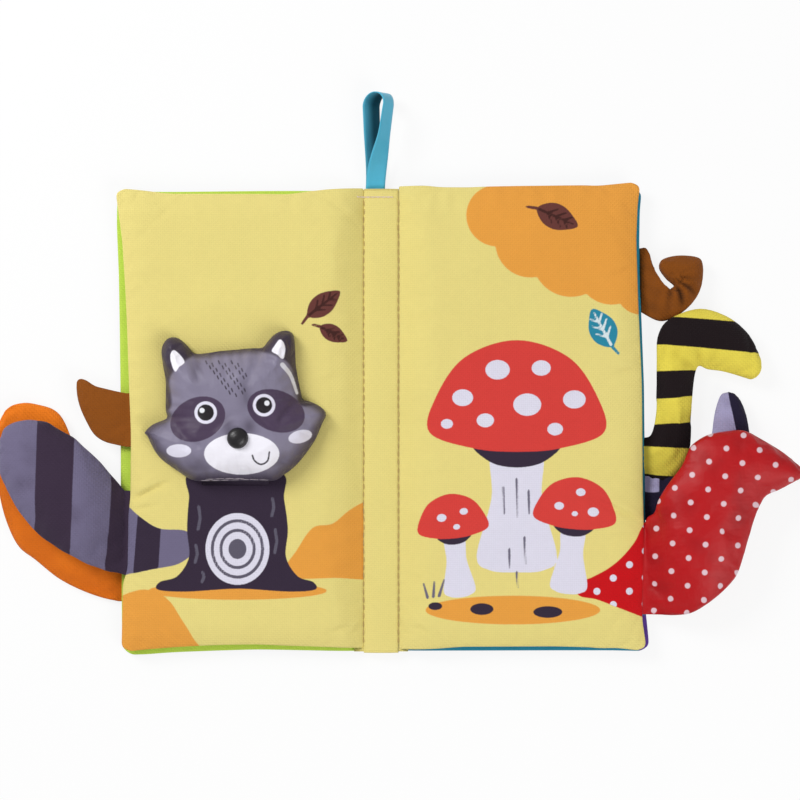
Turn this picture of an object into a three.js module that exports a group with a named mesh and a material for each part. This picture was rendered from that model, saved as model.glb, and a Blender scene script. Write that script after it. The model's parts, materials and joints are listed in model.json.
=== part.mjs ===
// Baby texture book of padded cloth, lying open at its middle spread.
// Millimetres, +Z up. The origin is on the floor under the middle of the spine.
// +X is to the reader's right, +Y is towards the top edge of the pages.
import * as THREE from "three";

// Driving dimensions of the leaves and the spine
const pageHeight = 240;
const stitchHalfGap = 9;
const leafThickness = 5;
const clothThickness = 0.6;
const seamGap = 0.3;
const stackGap = 0.3;
const stitchClearance = 0.3;
const edgeEase = 14;
const topSideDrawIn = 1.2;
const sheetRootGap = 0.8;
const lowerRootLift = 0.5;

// Padding and crackle film inside a leaf
const padInset = 17;
const padCornerRadius = 6;
const filmThickness = 0.2;
const filmClearance = 0.4;

// Spine layers
const spineClothThickness = 0.7;
const spineCrown = 0.8;

// Reach of each leaf from the middle of the spine to its outer corners
const leftPageReach = 134.5;
const leftPageDrawIn = 3.3;
const frontCoverReach = 136.3;
const frontCoverDrawIn = 0.8;
const rightPageReach = 136.3;
const rightPageDrawIn = 0.8;
const backCoverReach = 137.5;
const backCoverDrawIn = 0.8;

// Ribbon loop at the top of the spine
const ribbonWidth = 10;
const ribbonThickness = 0.8;
const ribbonLoopLength = 49;
const ribbonLoopRadius = 7;
const ribbonBaseHalfGap = 0.5;
const ribbonOffset = -2.4;
const ribbonBaseHeight = 2.2;
const ribbonTopHeight = 11.8;
const ribbonTwistDegrees = 50;
const ribbonTwistShare = 0.75;
const ribbonClearance = 0.95;

// Stuffed head on the left page
const headWidth = 94;
const headHeight = 77.5;
const headThickness = 16;
const headEdgeThickness = 1.2;
const headCentreX = -75;
const chinSeamY = -31;
const headTiltDegrees = 4.3;
const headShift = 2;
const headBackThickness = 0.8;
const headClearance = 0.3;
const headCentreShare = 0.42;
const pocketRadius = 17;
const pocketDepth = 8.5;
const squeakerRadius = 14;
const squeakerThickness = 6.5;
const squeakerReedRadius = 3;
const squeakerReedHeight = 1.2;
const squeakerRoundShare = 0.2;
const noseRadius = 5.4;
const noseHeight = 3.6;
const noseShare = 0.29;
const noseShift = 2.5;

// Tails: each is stuffed cloth whose seam edge is sewn into the outer edge of a leaf.
// A drop is measured down from the leaf's top edge, a lift up from its bottom edge.
const tailSeamHalf = 0.5;
const tailSeamGap = 0.7;
const tailFloorGap = 0.3;
const tailStackGap = 0.5;
const greyTailLift = 39.5;
const orangeTailLift = 26.1;
const redTailLift = 19.9;
const curledTailDrop = 65.6;
const hookedTailDrop = 148.9;
const whiteTailDrop = 173.1;
const topEdge = pageHeight / 2;
const greyTail = { reach: 67.6, height: 81.5, low: greyTailLift - topEdge, thickness: 15 };
const orangeTail = { reach: 64, height: 103.2, low: orangeTailLift - topEdge, thickness: 7.6 };
const brownTail = { reach: 27.9, height: 35.1, low: -13.4, thickness: 3.2 };
const redTail = { reach: 80.5, height: 95.5, low: redTailLift - topEdge, thickness: 18 };
const hookedTail = { reach: 61.4, height: 86.9, low: topEdge - hookedTailDrop, thickness: 12 };
const whiteTail = { reach: 53.7, height: 68.1, low: topEdge - whiteTailDrop, thickness: 9 };
const curledTail = { reach: 32.5, height: 37, low: topEdge - curledTailDrop, thickness: 11 };

// Mesh fineness, in counts
const tailSides = 12;
const headSides = 48;
const ribbonStraightSteps = 9;
const ribbonArcSteps = 10;
const discSides = 24;
const noseSteps = 6;
const plateCornerSteps = 4;
const crownSteps = 8;

// Places along a padded edge, as shares of the ease, and across the middle, as shares of the rest
const easeShares = [0, 0.14, 0.36, 0.64, 1];
const columnMiddleShares = [0.5];
const rowMiddleShares = [0.2, 0.4, 0.6, 0.8];

// How strongly a leaf's outer edge and its top and bottom sides are drawn in away from the corners
const outerEdgePower = 4;
const sidePower = 6;

// How far round the full thickness a tail has come, by its own reach from seam to tip
const plumpShares = [[0, 0], [0.12, 0.5], [0.3, 0.86], [0.5, 1], [0.75, 0.94], [0.9, 0.68], [1, 0.2]];
const riseShare = 0.34;

// Outline stations from the seam to the tip: upper edge across, up, then lower edge across, up
const greyTailShares = [
  [0.00, 0.50, 0.00, 0.00],
  [0.12, 0.62, 0.12, 0.01],
  [0.24, 0.73, 0.25, 0.04],
  [0.35, 0.84, 0.40, 0.10],
  [0.50, 0.94, 0.54, 0.17],
  [0.66, 0.99, 0.68, 0.25],
  [0.82, 1.00, 0.79, 0.33],
  [0.92, 0.96, 0.89, 0.44],
  [0.98, 0.86, 0.95, 0.58],
  [1.00, 0.72, 1.00, 0.72],
];
const orangeTailShares = [
  [0.00, 0.41, 0.00, 0.00],
  [0.12, 0.49, 0.14, 0.02],
  [0.25, 0.61, 0.31, 0.06],
  [0.36, 0.76, 0.49, 0.12],
  [0.44, 0.89, 0.67, 0.21],
  [0.52, 0.95, 0.81, 0.28],
  [0.64, 0.99, 0.91, 0.41],
  [0.77, 1.00, 0.97, 0.56],
  [0.90, 0.97, 1.00, 0.70],
  [1.00, 0.86, 1.00, 0.86],
];
const brownTailShares = [
  [0.00, 0.79, 0.00, 0.00],
  [0.20, 0.82, 0.20, 0.03],
  [0.44, 0.86, 0.44, 0.08],
  [0.65, 0.91, 0.67, 0.19],
  [0.81, 0.98, 0.82, 0.41],
  [0.93, 1.00, 0.93, 0.60],
  [0.99, 0.96, 0.98, 0.75],
  [1.00, 0.87, 1.00, 0.87],
];
const redTailShares = [
  [0.00, 0.49, 0.00, 0.00],
  [0.04, 0.56, 0.15, 0.00],
  [0.10, 0.64, 0.29, 0.01],
  [0.16, 0.72, 0.40, 0.06],
  [0.22, 0.79, 0.51, 0.14],
  [0.28, 0.89, 0.60, 0.24],
  [0.30, 0.94, 0.64, 0.35],
  [0.37, 0.98, 0.70, 0.49],
  [0.48, 0.99, 0.74, 0.60],
  [0.61, 1.00, 0.78, 0.64],
  [0.72, 0.97, 0.83, 0.67],
  [0.84, 0.91, 0.90, 0.70],
  [0.94, 0.85, 0.97, 0.72],
  [1.00, 0.78, 1.00, 0.78],
];
const hookedTailShares = [
  [0.00, 0.23, 0.00, 0.01],
  [0.08, 0.25, 0.24, 0.00],
  [0.12, 0.38, 0.39, 0.15],
  [0.12, 0.53, 0.41, 0.37],
  [0.12, 0.69, 0.43, 0.55],
  [0.13, 0.84, 0.45, 0.63],
  [0.23, 0.94, 0.48, 0.66],
  [0.47, 1.00, 0.55, 0.64],
  [0.69, 0.96, 0.66, 0.63],
  [0.86, 0.87, 0.77, 0.61],
  [0.97, 0.75, 0.86, 0.59],
  [1.00, 0.66, 0.92, 0.58],
  [0.97, 0.60, 0.97, 0.60],
];
const whiteTailShares = [
  [0.00, 0.34, 0.00, 0.02],
  [0.18, 0.33, 0.20, 0.00],
  [0.39, 0.36, 0.47, 0.02],
  [0.55, 0.47, 0.74, 0.11],
  [0.62, 0.60, 0.92, 0.30],
  [0.64, 0.70, 1.00, 0.56],
  [0.66, 0.82, 1.00, 0.73],
  [0.71, 0.93, 0.95, 0.88],
  [0.80, 1.00, 0.80, 1.00],
];
const curledTailShares = [
  [0.00, 1.00, 0.00, 0.13],
  [0.13, 0.99, 0.13, 0.08],
  [0.22, 0.75, 0.32, 0.00],
  [0.32, 0.56, 0.51, 0.01],
  [0.42, 0.39, 0.73, 0.10],
  [0.52, 0.43, 0.89, 0.30],
  [0.56, 0.49, 0.99, 0.56],
  [0.54, 0.54, 1.00, 0.75],
  [0.46, 0.57, 0.92, 0.88],
  [0.38, 0.62, 0.67, 0.90],
  [0.33, 0.67, 0.44, 0.88],
  [0.31, 0.77, 0.31, 0.77],
];

// Right half of the head's outline from the middle of the chin to the middle of the crown,
// as shares of its half width and its height
const headOutlineShares = [
  [0.00, 0.00],
  [0.22, 0.00],
  [0.42, 0.01],
  [0.64, 0.09],
  [0.84, 0.22],
  [0.97, 0.36],
  [1.00, 0.41],
  [0.93, 0.46],
  [0.84, 0.55],
  [0.81, 0.68],
  [0.79, 0.84],
  [0.74, 0.97],
  [0.66, 1.00],
  [0.52, 0.93],
  [0.38, 0.86],
  [0.18, 0.88],
  [0.00, 0.89],
];

// Rings of the head from its rim to its middle, as shares of the outline's radius
const headRingShares = [0.965, 0.9, 0.8, 0.64, 0.44, 0.22];
const headDomePower = 2.6;

const book = new THREE.Group();

function clothMaterial(color, roughness) {
  return new THREE.MeshStandardMaterial({ color, roughness, metalness: 0 });
}

function addPiece(name, geometry, material) {
  const mesh = new THREE.Mesh(geometry, material);
  mesh.name = name;
  book.add(mesh);
  return mesh;
}

// A closed body from rings of equal length; each end is closed by a fan to a middle point
function ringBody(rings, startPoint, endPoint) {
  const count = rings[0].length;
  const positions = rings.flat().concat([startPoint, endPoint]).flat();
  const startIndex = rings.length * count;
  const endIndex = startIndex + 1;
  const indices = [];
  for (let ring = 0; ring + 1 < rings.length; ring += 1) {
    for (let step = 0; step < count; step += 1) {
      const next = (step + 1) % count;
      const a = ring * count + step;
      const b = ring * count + next;
      indices.push(a, b, b + count);
      indices.push(a, b + count, a + count);
    }
  }
  const last = (rings.length - 1) * count;
  for (let step = 0; step < count; step += 1) {
    const next = (step + 1) % count;
    indices.push(startIndex, next, step);
    indices.push(endIndex, last + step, last + next);
  }
  return facingOut(positions, indices);
}

function meshVolume(positions, indices) {
  let total = 0;
  const a = new THREE.Vector3();
  const b = new THREE.Vector3();
  const c = new THREE.Vector3();
  for (let face = 0; face < indices.length; face += 3) {
    a.fromArray(positions, indices[face] * 3);
    b.fromArray(positions, indices[face + 1] * 3);
    c.fromArray(positions, indices[face + 2] * 3);
    total += a.dot(b.cross(c));
  }
  return total;
}

// The faces are turned over where the rings ran the other way round
function facingOut(positions, indices) {
  if (meshVolume(positions, indices) < 0) {
    for (let face = 0; face < indices.length; face += 3) {
      const kept = indices[face + 1];
      indices[face + 1] = indices[face + 2];
      indices[face + 2] = kept;
    }
  }
  const geometry = new THREE.BufferGeometry();
  geometry.setAttribute("position", new THREE.Float32BufferAttribute(positions, 3));
  geometry.setIndex(indices);
  geometry.computeVertexNormals();
  return geometry;
}

// A closed body between an upper and a lower sheet of the same grid of points
function sheetBody(columns, rows, pointAt) {
  const positions = [];
  for (const layer of [0, 1]) {
    for (const row of rows) {
      for (const column of columns) {
        positions.push(...pointAt(column, row, layer));
      }
    }
  }
  const wide = columns.length;
  const high = rows.length;
  const layerSize = wide * high;
  const indices = [];
  for (let row = 0; row + 1 < high; row += 1) {
    for (let column = 0; column + 1 < wide; column += 1) {
      const a = row * wide + column;
      const b = a + 1;
      const c = b + wide;
      const d = a + wide;
      indices.push(a, c, b, a, d, c);
      indices.push(a + layerSize, b + layerSize, c + layerSize);
      indices.push(a + layerSize, c + layerSize, d + layerSize);
    }
  }
  const rim = [];
  for (let column = 0; column < wide; column += 1) rim.push(column);
  for (let row = 1; row < high; row += 1) rim.push(row * wide + wide - 1);
  for (let column = wide - 2; column >= 0; column -= 1) rim.push((high - 1) * wide + column);
  for (let row = high - 2; row >= 1; row -= 1) rim.push(row * wide);
  rim.forEach((a, index) => {
    const b = rim[(index + 1) % rim.length];
    indices.push(a, b, b + layerSize, a, b + layerSize, a + layerSize);
  });
  return facingOut(positions, indices);
}

// Goes from 0 to 1 with no kink at either end
function smoothShare(share) {
  return share * share * (3 - 2 * share);
}

// Rises from 0 at a seam to 1 where the padding has its full thickness
function puff(distance) {
  const share = Math.min(1, Math.max(0, distance / edgeEase));
  return Math.sin(share * Math.PI / 2);
}

// Distances from one padded edge to the other, close together near the edges
function edgeSteps(length, middleShares) {
  const middle = length - 2 * edgeEase;
  const near = easeShares.map((share) => share * edgeEase);
  const across = middleShares.map((share) => edgeEase + share * middle);
  const far = easeShares.map((share) => length - share * edgeEase).reverse();
  return [...near, ...across, ...far];
}

const seamHalf = clothThickness + seamGap / 2;
const fullHalf = leafThickness / 2;
const rootEdge = stitchHalfGap + stitchClearance;
const lowerLevel = fullHalf;
const upperLevel = leafThickness + stackGap + fullHalf;
const lowerRootLevel = lowerRootLift + seamHalf;
const upperRootLevel = lowerRootLevel + 2 * seamHalf + sheetRootGap;
const hingeHeight = upperRootLevel + seamHalf;
const upperTop = upperLevel + fullHalf;

// Outer edge of a leaf: widest at its corners, drawn in between them
function leafEdge(leaf, y) {
  const share = Math.abs(y) / (pageHeight / 2);
  return leaf.reach - leaf.drawIn * (1 - share ** outerEdgePower);
}

const leafRows = edgeSteps(pageHeight, rowMiddleShares);

// The same edge as the cloth's straight facets follow it from row to row
function facetedEdge(leaf, y) {
  const up = y + pageHeight / 2;
  const next = Math.max(1, leafRows.findIndex((row) => row >= up));
  const low = leafRows[next - 1];
  const high = leafRows[next];
  const lowEdge = leafEdge(leaf, low - pageHeight / 2);
  const highEdge = leafEdge(leaf, high - pageHeight / 2);
  return lowEdge + (highEdge - lowEdge) * (up - low) / (high - low);
}

// One of the two cloth skins of a leaf; skin is 1 for the upper and -1 for the lower
function leafCloth(leaf, skin) {
  const reach = leaf.reach - rootEdge;
  const columns = edgeSteps(reach, columnMiddleShares).map((step) => step / reach);
  const rows = leafRows.map((step) => step / pageHeight);
  return sheetBody(columns, rows, (across, up, layer) => {
    const nominalY = (up - 0.5) * pageHeight;
    const width = leafEdge(leaf, nominalY) - rootEdge;
    const bow = 1 - 4 * (across - 0.5) ** 2;
    const drawnIn = topSideDrawIn * bow * Math.abs(2 * up - 1) ** sidePower;
    const y = nominalY - Math.sign(nominalY) * drawnIn;
    const fromRoot = across * width;
    const fromEdge = (1 - across) * width;
    const fromSide = Math.min(up, 1 - up) * pageHeight;
    const swell = puff(fromRoot) * puff(fromEdge) * puff(fromSide);
    const half = seamHalf + (fullHalf - seamHalf) * swell;
    const middle = leaf.rootLevel + (leaf.level - leaf.rootLevel) * puff(fromRoot);
    const depth = layer === 1 ? half : half - clothThickness;
    return [leaf.side * (rootEdge + fromRoot), y, middle + skin * depth];
  });
}

function roundedPlate(width, height, radius, thickness) {
  const shape = new THREE.Shape();
  const right = width / 2;
  const top = height / 2;
  shape.moveTo(right - radius, -top);
  shape.absarc(right - radius, radius - top, radius, -Math.PI / 2, 0, false);
  shape.absarc(right - radius, top - radius, radius, 0, Math.PI / 2, false);
  shape.absarc(radius - right, top - radius, radius, Math.PI / 2, Math.PI, false);
  shape.absarc(radius - right, radius - top, radius, Math.PI, 3 * Math.PI / 2, false);
  const options = { depth: thickness, bevelEnabled: false, curveSegments: plateCornerSteps };
  return new THREE.ExtrudeGeometry(shape, options);
}

// Wadding and crackle film lie flat in the full-thickness middle of a leaf
function leafFilling(leaf) {
  const innerHalf = fullHalf - clothThickness;
  const outer = leaf.reach - leaf.drawIn;
  const width = outer - rootEdge - 2 * padInset;
  const height = pageHeight - 2 * padInset;
  const centre = leaf.side * (rootEdge + outer) / 2;
  const filmBase = leaf.level + innerHalf - filmClearance - filmThickness;
  const padBase = leaf.level - innerHalf + seamGap;
  const padThickness = filmBase - seamGap - padBase;
  const film = roundedPlate(width, height, padCornerRadius, filmThickness);
  film.translate(centre, 0, filmBase);
  const pad = roundedPlate(width, height, padCornerRadius, padThickness);
  pad.translate(centre, 0, padBase);
  return { film, pad };
}

const yellowCloth = clothMaterial(0xe8d878, 0.85);
const greenCloth = clothMaterial(0x8fcf2a, 0.85);
const tealCloth = clothMaterial(0x2b8ca3, 0.85);
const purpleCloth = clothMaterial(0x6a3a9a, 0.85);
const wadding = clothMaterial(0xf2f0ea, 0.95);
const crackleFilm = clothMaterial(0xdde3e6, 0.3);

const leaves = [
  {
    name: "right_page", side: 1, reach: rightPageReach, drawIn: rightPageDrawIn,
    level: upperLevel, rootLevel: upperRootLevel, upper: yellowCloth, lower: tealCloth,
  },
  {
    name: "back_cover", side: 1, reach: backCoverReach, drawIn: backCoverDrawIn,
    level: lowerLevel, rootLevel: lowerRootLevel, upper: tealCloth, lower: purpleCloth,
  },
  {
    name: "left_page", side: -1, reach: leftPageReach, drawIn: leftPageDrawIn,
    level: upperLevel, rootLevel: upperRootLevel, upper: yellowCloth, lower: greenCloth,
  },
  {
    name: "front_cover", side: -1, reach: frontCoverReach, drawIn: frontCoverDrawIn,
    level: lowerLevel, rootLevel: lowerRootLevel, upper: greenCloth, lower: purpleCloth,
  },
];

for (const leaf of leaves) {
  const filling = leafFilling(leaf);
  addPiece(`${leaf.name}_upper_cloth`, leafCloth(leaf, 1), leaf.upper);
  addPiece(`${leaf.name}_lower_cloth`, leafCloth(leaf, -1), leaf.lower);
  addPiece(`${leaf.name}_wadding`, filling.pad, wadding);
  addPiece(`${leaf.name}_crackle_film`, filling.film, crackleFilm);
}

// The spine: an outer strip that is flat on the floor, wadding, and the inner strip with a crown
function spineLayer(base, edgeTop, crown) {
  const half = stitchHalfGap - stitchClearance;
  const profile = new THREE.Shape();
  profile.moveTo(-half, base);
  profile.lineTo(half, base);
  profile.lineTo(half, edgeTop);
  if (crown > 0) {
    profile.quadraticCurveTo(0, edgeTop + 2 * crown, -half, edgeTop);
  } else {
    profile.lineTo(-half, edgeTop);
  }
  const length = pageHeight - 2 * topSideDrawIn;
  const options = { depth: length, bevelEnabled: false, curveSegments: crownSteps };
  const layer = new THREE.ExtrudeGeometry(profile, options);
  layer.rotateX(Math.PI / 2);
  layer.translate(0, length / 2, 0);
  return layer;
}

const spineWaddingBase = spineClothThickness + seamGap;
const spineStripBase = hingeHeight - spineClothThickness;
addPiece("spine_outer_strip", spineLayer(0, spineClothThickness, 0), purpleCloth);
addPiece("spine_wadding", spineLayer(spineWaddingBase, spineStripBase - seamGap, 0), wadding);
addPiece("spine_inner_strip", spineLayer(spineStripBase, hingeHeight, spineCrown), yellowCloth);

// The ribbon is folded double at the spine and twists until its loop is half open to the front
function ribbonPoint(along, sideways, normal, widthways) {
  const baseY = pageHeight / 2 - topSideDrawIn + ribbonClearance;
  const share = Math.min(1, along / (ribbonLoopLength * ribbonTwistShare));
  const twist = THREE.MathUtils.degToRad(ribbonTwistDegrees) * smoothShare(share);
  const centreZ = ribbonBaseHeight + (ribbonTopHeight - ribbonBaseHeight) * Math.sin(twist);
  const apart = sideways + normal;
  const x = ribbonOffset + apart * Math.sin(twist) + widthways * Math.cos(twist);
  const z = centreZ + apart * Math.cos(twist) - widthways * Math.sin(twist);
  return [x, baseY + along, z];
}

function ribbonLoop() {
  const straight = ribbonLoopLength - ribbonLoopRadius;
  const path = [];
  for (let step = 0; step < ribbonStraightSteps; step += 1) {
    const share = step / ribbonStraightSteps;
    const apart = ribbonBaseHalfGap + (ribbonLoopRadius - ribbonBaseHalfGap) * share;
    path.push({ along: straight * share, apart, turn: 0 });
  }
  for (let step = 0; step <= ribbonArcSteps; step += 1) {
    const turn = Math.PI * step / ribbonArcSteps;
    const along = straight + ribbonLoopRadius * Math.sin(turn);
    path.push({ along, apart: ribbonLoopRadius * Math.cos(turn), turn });
  }
  for (let step = ribbonStraightSteps - 1; step >= 0; step -= 1) {
    const share = step / ribbonStraightSteps;
    const apart = ribbonBaseHalfGap + (ribbonLoopRadius - ribbonBaseHalfGap) * share;
    path.push({ along: straight * share, apart: -apart, turn: Math.PI });
  }
  const rings = path.map(({ along, apart, turn }) => {
    const corners = [[1, 1], [1, -1], [-1, -1], [-1, 1]];
    return corners.map(([out, wide]) => {
      const offset = out * ribbonThickness / 2;
      const inward = Math.max(0, along + offset * Math.sin(turn));
      return ribbonPoint(inward, apart, offset * Math.cos(turn), wide * ribbonWidth / 2);
    });
  });
  const middleOf = (ring) => ring[0].map((value, axis) => (value + ring[2][axis]) / 2);
  return ringBody(rings, middleOf(rings[0]), middleOf(rings[rings.length - 1]));
}

addPiece("ribbon_loop", ribbonLoop(), clothMaterial(0x3f9fc0, 0.45));

function shareAt(table, share) {
  const upper = Math.max(1, table.findIndex((entry) => entry[0] >= share));
  const [from, low] = table[upper - 1];
  const [to, high] = table[upper];
  return low + (high - low) * (share - from) / (to - from);
}

// A stuffed tail: elliptic sections between its upper and lower edges, from the seam to the tip.
// It leaves the leaf at the seam's level and rises or sinks to lie at its own level.
function stuffedTail(tail, shares, leaf, restLevel) {
  const seamX = leafEdgeAt(leaf, tail) + tailSeamGap;
  const last = shares.length - 1;
  const place = (across, up) => [leaf.side * (seamX + across * tail.reach), tail.low + up * tail.height];
  const rings = [];
  for (let station = 0; station < last; station += 1) {
    const [upperAcross, upperUp, lowerAcross, lowerUp] = shares[station];
    const upper = place(upperAcross, upperUp);
    const lower = place(lowerAcross, lowerUp);
    const along = station / last;
    const half = tailSeamHalf + (tail.thickness / 2 - tailSeamHalf) * shareAt(plumpShares, along);
    const rise = Math.min(1, along / riseShare);
    const level = leaf.level + (restLevel - leaf.level) * smoothShare(rise);
    const ring = [];
    for (let side = 0; side < tailSides; side += 1) {
      const angle = 2 * Math.PI * side / tailSides;
      const mix = (1 + Math.cos(angle)) / 2;
      ring.push([
        lower[0] + (upper[0] - lower[0]) * mix,
        lower[1] + (upper[1] - lower[1]) * mix,
        level + half * Math.sin(angle),
      ]);
    }
    rings.push(ring);
  }
  const root = place(0, (shares[0][1] + shares[0][3]) / 2);
  const tip = place(shares[last][0], shares[last][1]);
  return ringBody(rings, [...root, leaf.level], [...tip, restLevel]);
}

// Widest place of a leaf's edge along the rows where a tail is sewn in
function leafEdgeAt(leaf, tail) {
  return Math.max(facetedEdge(leaf, tail.low), facetedEdge(leaf, tail.low + tail.height));
}

const [rightPage, backCover, leftPage, frontCover] = leaves;
const onFloor = (tail) => tailFloorGap + tail.thickness / 2;
const onTail = (below, tail) => onFloor(below) + below.thickness / 2 + tailStackGap + tail.thickness / 2;
const greyCloth = clothMaterial(0x66607a, 0.8);
const orangeCloth = clothMaterial(0xf07a20, 0.8);
const brownCloth = clothMaterial(0x8a4a10, 0.9);
const redSatin = clothMaterial(0xc4161c, 0.35);
const stripedCloth = clothMaterial(0xe2cf3a, 0.8);
const whiteCloth = clothMaterial(0xdcd8ec, 0.85);
const tails = [
  ["grey_striped_tail", greyTail, greyTailShares, leftPage, onTail(orangeTail, greyTail), greyCloth],
  ["orange_tail", orangeTail, orangeTailShares, frontCover, onFloor(orangeTail), orangeCloth],
  ["brown_flat_tail", brownTail, brownTailShares, leftPage, leftPage.level, brownCloth],
  ["red_dotted_tail", redTail, redTailShares, rightPage, onTail(whiteTail, redTail), redSatin],
  ["hooked_striped_tail", hookedTail, hookedTailShares, backCover, onFloor(hookedTail), stripedCloth],
  ["white_navy_tail", whiteTail, whiteTailShares, backCover, onFloor(whiteTail), whiteCloth],
  ["brown_curled_tail", curledTail, curledTailShares, backCover, onFloor(curledTail), brownCloth],
];
for (const [name, tail, shares, leaf, level, material] of tails) {
  addPiece(name, stuffedTail(tail, shares, leaf, level), material);
}

// The head lies on the left page and is sewn to it along its chin
const headBackBase = upperTop + headClearance;
const headBase = headBackBase + headBackThickness + headClearance;
const headCentreY = chinSeamY + headHeight * headCentreShare;

function headCurve() {
  const right = headOutlineShares.map(([across, up]) => [across * headWidth / 2, up * headHeight]);
  const left = right.slice(1, -1).reverse().map(([x, y]) => [-x, y]);
  const tilt = THREE.MathUtils.degToRad(headTiltDegrees);
  const seamMiddle = new THREE.Vector3(headCentreX + headShift, chinSeamY, 0);
  const points = [...right, ...left].map(([x, y]) => {
    return new THREE.Vector3(x, y, 0).applyAxisAngle(new THREE.Vector3(0, 0, 1), tilt).add(seamMiddle);
  });
  return new THREE.CatmullRomCurve3(points, true, "centripetal");
}

function headRim(share) {
  const curve = headCurve();
  const rim = [];
  for (let side = 0; side < headSides; side += 1) {
    const point = curve.getPoint(side / headSides);
    const x = headCentreX + (point.x - headCentreX) * share;
    const y = headCentreY + (Math.max(point.y, chinSeamY) - headCentreY) * share;
    rim.push([x, y]);
  }
  return rim;
}

function headHeightAt(share) {
  const dome = Math.sqrt(1 - share ** headDomePower);
  return headBase + headEdgeThickness + (headThickness - headEdgeThickness) * dome;
}

function pocketRim(height) {
  return headRim(1).map(([x, y]) => {
    const direction = new THREE.Vector2(x - headCentreX, y - headCentreY).normalize();
    return [headCentreX + pocketRadius * direction.x, headCentreY + pocketRadius * direction.y, height];
  });
}

// The stuffed head is open at the back where it was filled and holds the squeaker there
function stuffedHead() {
  const level = (share, height) => headRim(share).map(([x, y]) => [x, y, height]);
  const rings = [pocketRim(headBase + pocketDepth), pocketRim(headBase)];
  rings.push(level(1, headBase), level(1, headBase + headEdgeThickness));
  for (const share of headRingShares) rings.push(level(share, headHeightAt(share)));
  const floorPoint = [headCentreX, headCentreY, headBase + pocketDepth];
  return ringBody(rings, floorPoint, [headCentreX, headCentreY, headHeightAt(0)]);
}

function headBackPanel() {
  const level = (height) => headRim(1).map(([x, y]) => [x, y, height]);
  const rings = [level(headBackBase), level(headBackBase + headBackThickness)];
  const low = [headCentreX, headCentreY, headBackBase];
  const high = [headCentreX, headCentreY, headBackBase + headBackThickness];
  return ringBody(rings, low, high);
}

// A squeaker: a flat bellows disc with its reed plug on top
function squeaker() {
  const round = squeakerThickness * squeakerRoundShare;
  const profile = [
    [0, 0],
    [squeakerRadius - round, 0],
    [squeakerRadius, round],
    [squeakerRadius - round, squeakerThickness / 2],
    [squeakerRadius, squeakerThickness - round],
    [squeakerRadius - round, squeakerThickness],
    [squeakerReedRadius, squeakerThickness],
    [squeakerReedRadius, squeakerThickness + squeakerReedHeight],
    [0, squeakerThickness + squeakerReedHeight],
  ].map(([radius, height]) => new THREE.Vector2(radius, height));
  const disc = new THREE.LatheGeometry(profile, discSides);
  disc.rotateX(Math.PI / 2);
  disc.translate(headCentreX, headCentreY, headBase + headClearance);
  return disc;
}

// The domed nose is sewn on over the muzzle, clear of the head's curved front
function nose() {
  const profile = [new THREE.Vector2(0, 0)];
  for (let step = 0; step <= noseSteps; step += 1) {
    const angle = step / noseSteps * Math.PI / 2;
    profile.push(new THREE.Vector2(noseRadius * Math.cos(angle), noseHeight * Math.sin(angle)));
  }
  profile[profile.length - 1].x = 0;
  const dome = new THREE.LatheGeometry(profile, discSides);
  dome.rotateX(Math.PI / 2);
  const noseY = chinSeamY + noseShare * headHeight;
  const nearest = Math.max(0, (headCentreY - noseY - noseRadius) / (headCentreY - chinSeamY));
  dome.translate(headCentreX + noseShift, noseY, headHeightAt(nearest) + headClearance);
  return dome;
}

const greyFur = clothMaterial(0x8c869c, 0.5);
addPiece("stuffed_head", stuffedHead(), greyFur);
addPiece("head_back_panel", headBackPanel(), greyFur);
addPiece("head_squeaker", squeaker(), clothMaterial(0xf4f4f4, 0.4));
addPiece("head_nose", nose(), clothMaterial(0x141216, 0.4));

export default book;
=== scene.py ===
"""Looks of a padded cloth book for babies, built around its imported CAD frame."""

import json
import math

import bpy
import numpy as np
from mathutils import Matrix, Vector, noise
from mathutils.bvhtree import BVHTree

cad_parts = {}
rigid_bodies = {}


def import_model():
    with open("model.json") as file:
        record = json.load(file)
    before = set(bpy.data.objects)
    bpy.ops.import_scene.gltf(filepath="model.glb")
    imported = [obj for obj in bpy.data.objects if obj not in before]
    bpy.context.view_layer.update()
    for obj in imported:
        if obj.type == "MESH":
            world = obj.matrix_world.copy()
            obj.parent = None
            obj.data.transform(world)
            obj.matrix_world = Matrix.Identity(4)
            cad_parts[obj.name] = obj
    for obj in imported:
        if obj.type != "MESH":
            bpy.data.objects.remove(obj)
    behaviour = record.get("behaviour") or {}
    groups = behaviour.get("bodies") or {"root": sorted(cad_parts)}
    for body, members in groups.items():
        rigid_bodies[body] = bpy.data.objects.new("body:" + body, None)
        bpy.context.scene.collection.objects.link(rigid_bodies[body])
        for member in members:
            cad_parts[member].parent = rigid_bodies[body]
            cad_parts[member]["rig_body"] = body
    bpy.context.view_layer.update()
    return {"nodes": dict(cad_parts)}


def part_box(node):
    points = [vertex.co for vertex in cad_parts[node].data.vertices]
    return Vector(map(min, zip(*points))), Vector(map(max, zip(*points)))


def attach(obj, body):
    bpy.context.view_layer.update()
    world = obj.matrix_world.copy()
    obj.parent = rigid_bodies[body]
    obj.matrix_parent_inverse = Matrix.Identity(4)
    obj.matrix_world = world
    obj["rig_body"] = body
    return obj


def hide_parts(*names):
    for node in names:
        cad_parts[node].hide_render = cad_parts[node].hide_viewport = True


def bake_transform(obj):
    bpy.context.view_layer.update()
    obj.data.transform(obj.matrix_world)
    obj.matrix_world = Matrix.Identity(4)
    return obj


bl_info = {
    "name": "Baby texture book",
    "version": (1, 0, 0),
    "blender": (4, 5, 0),
    "location": "View3D > Sidebar > Book",
    "description": "Padded cloth pages, stuffed head, tails and ribbon loop of a baby book",
    "category": "Object",
}

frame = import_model()
MM = 0.001


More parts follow.
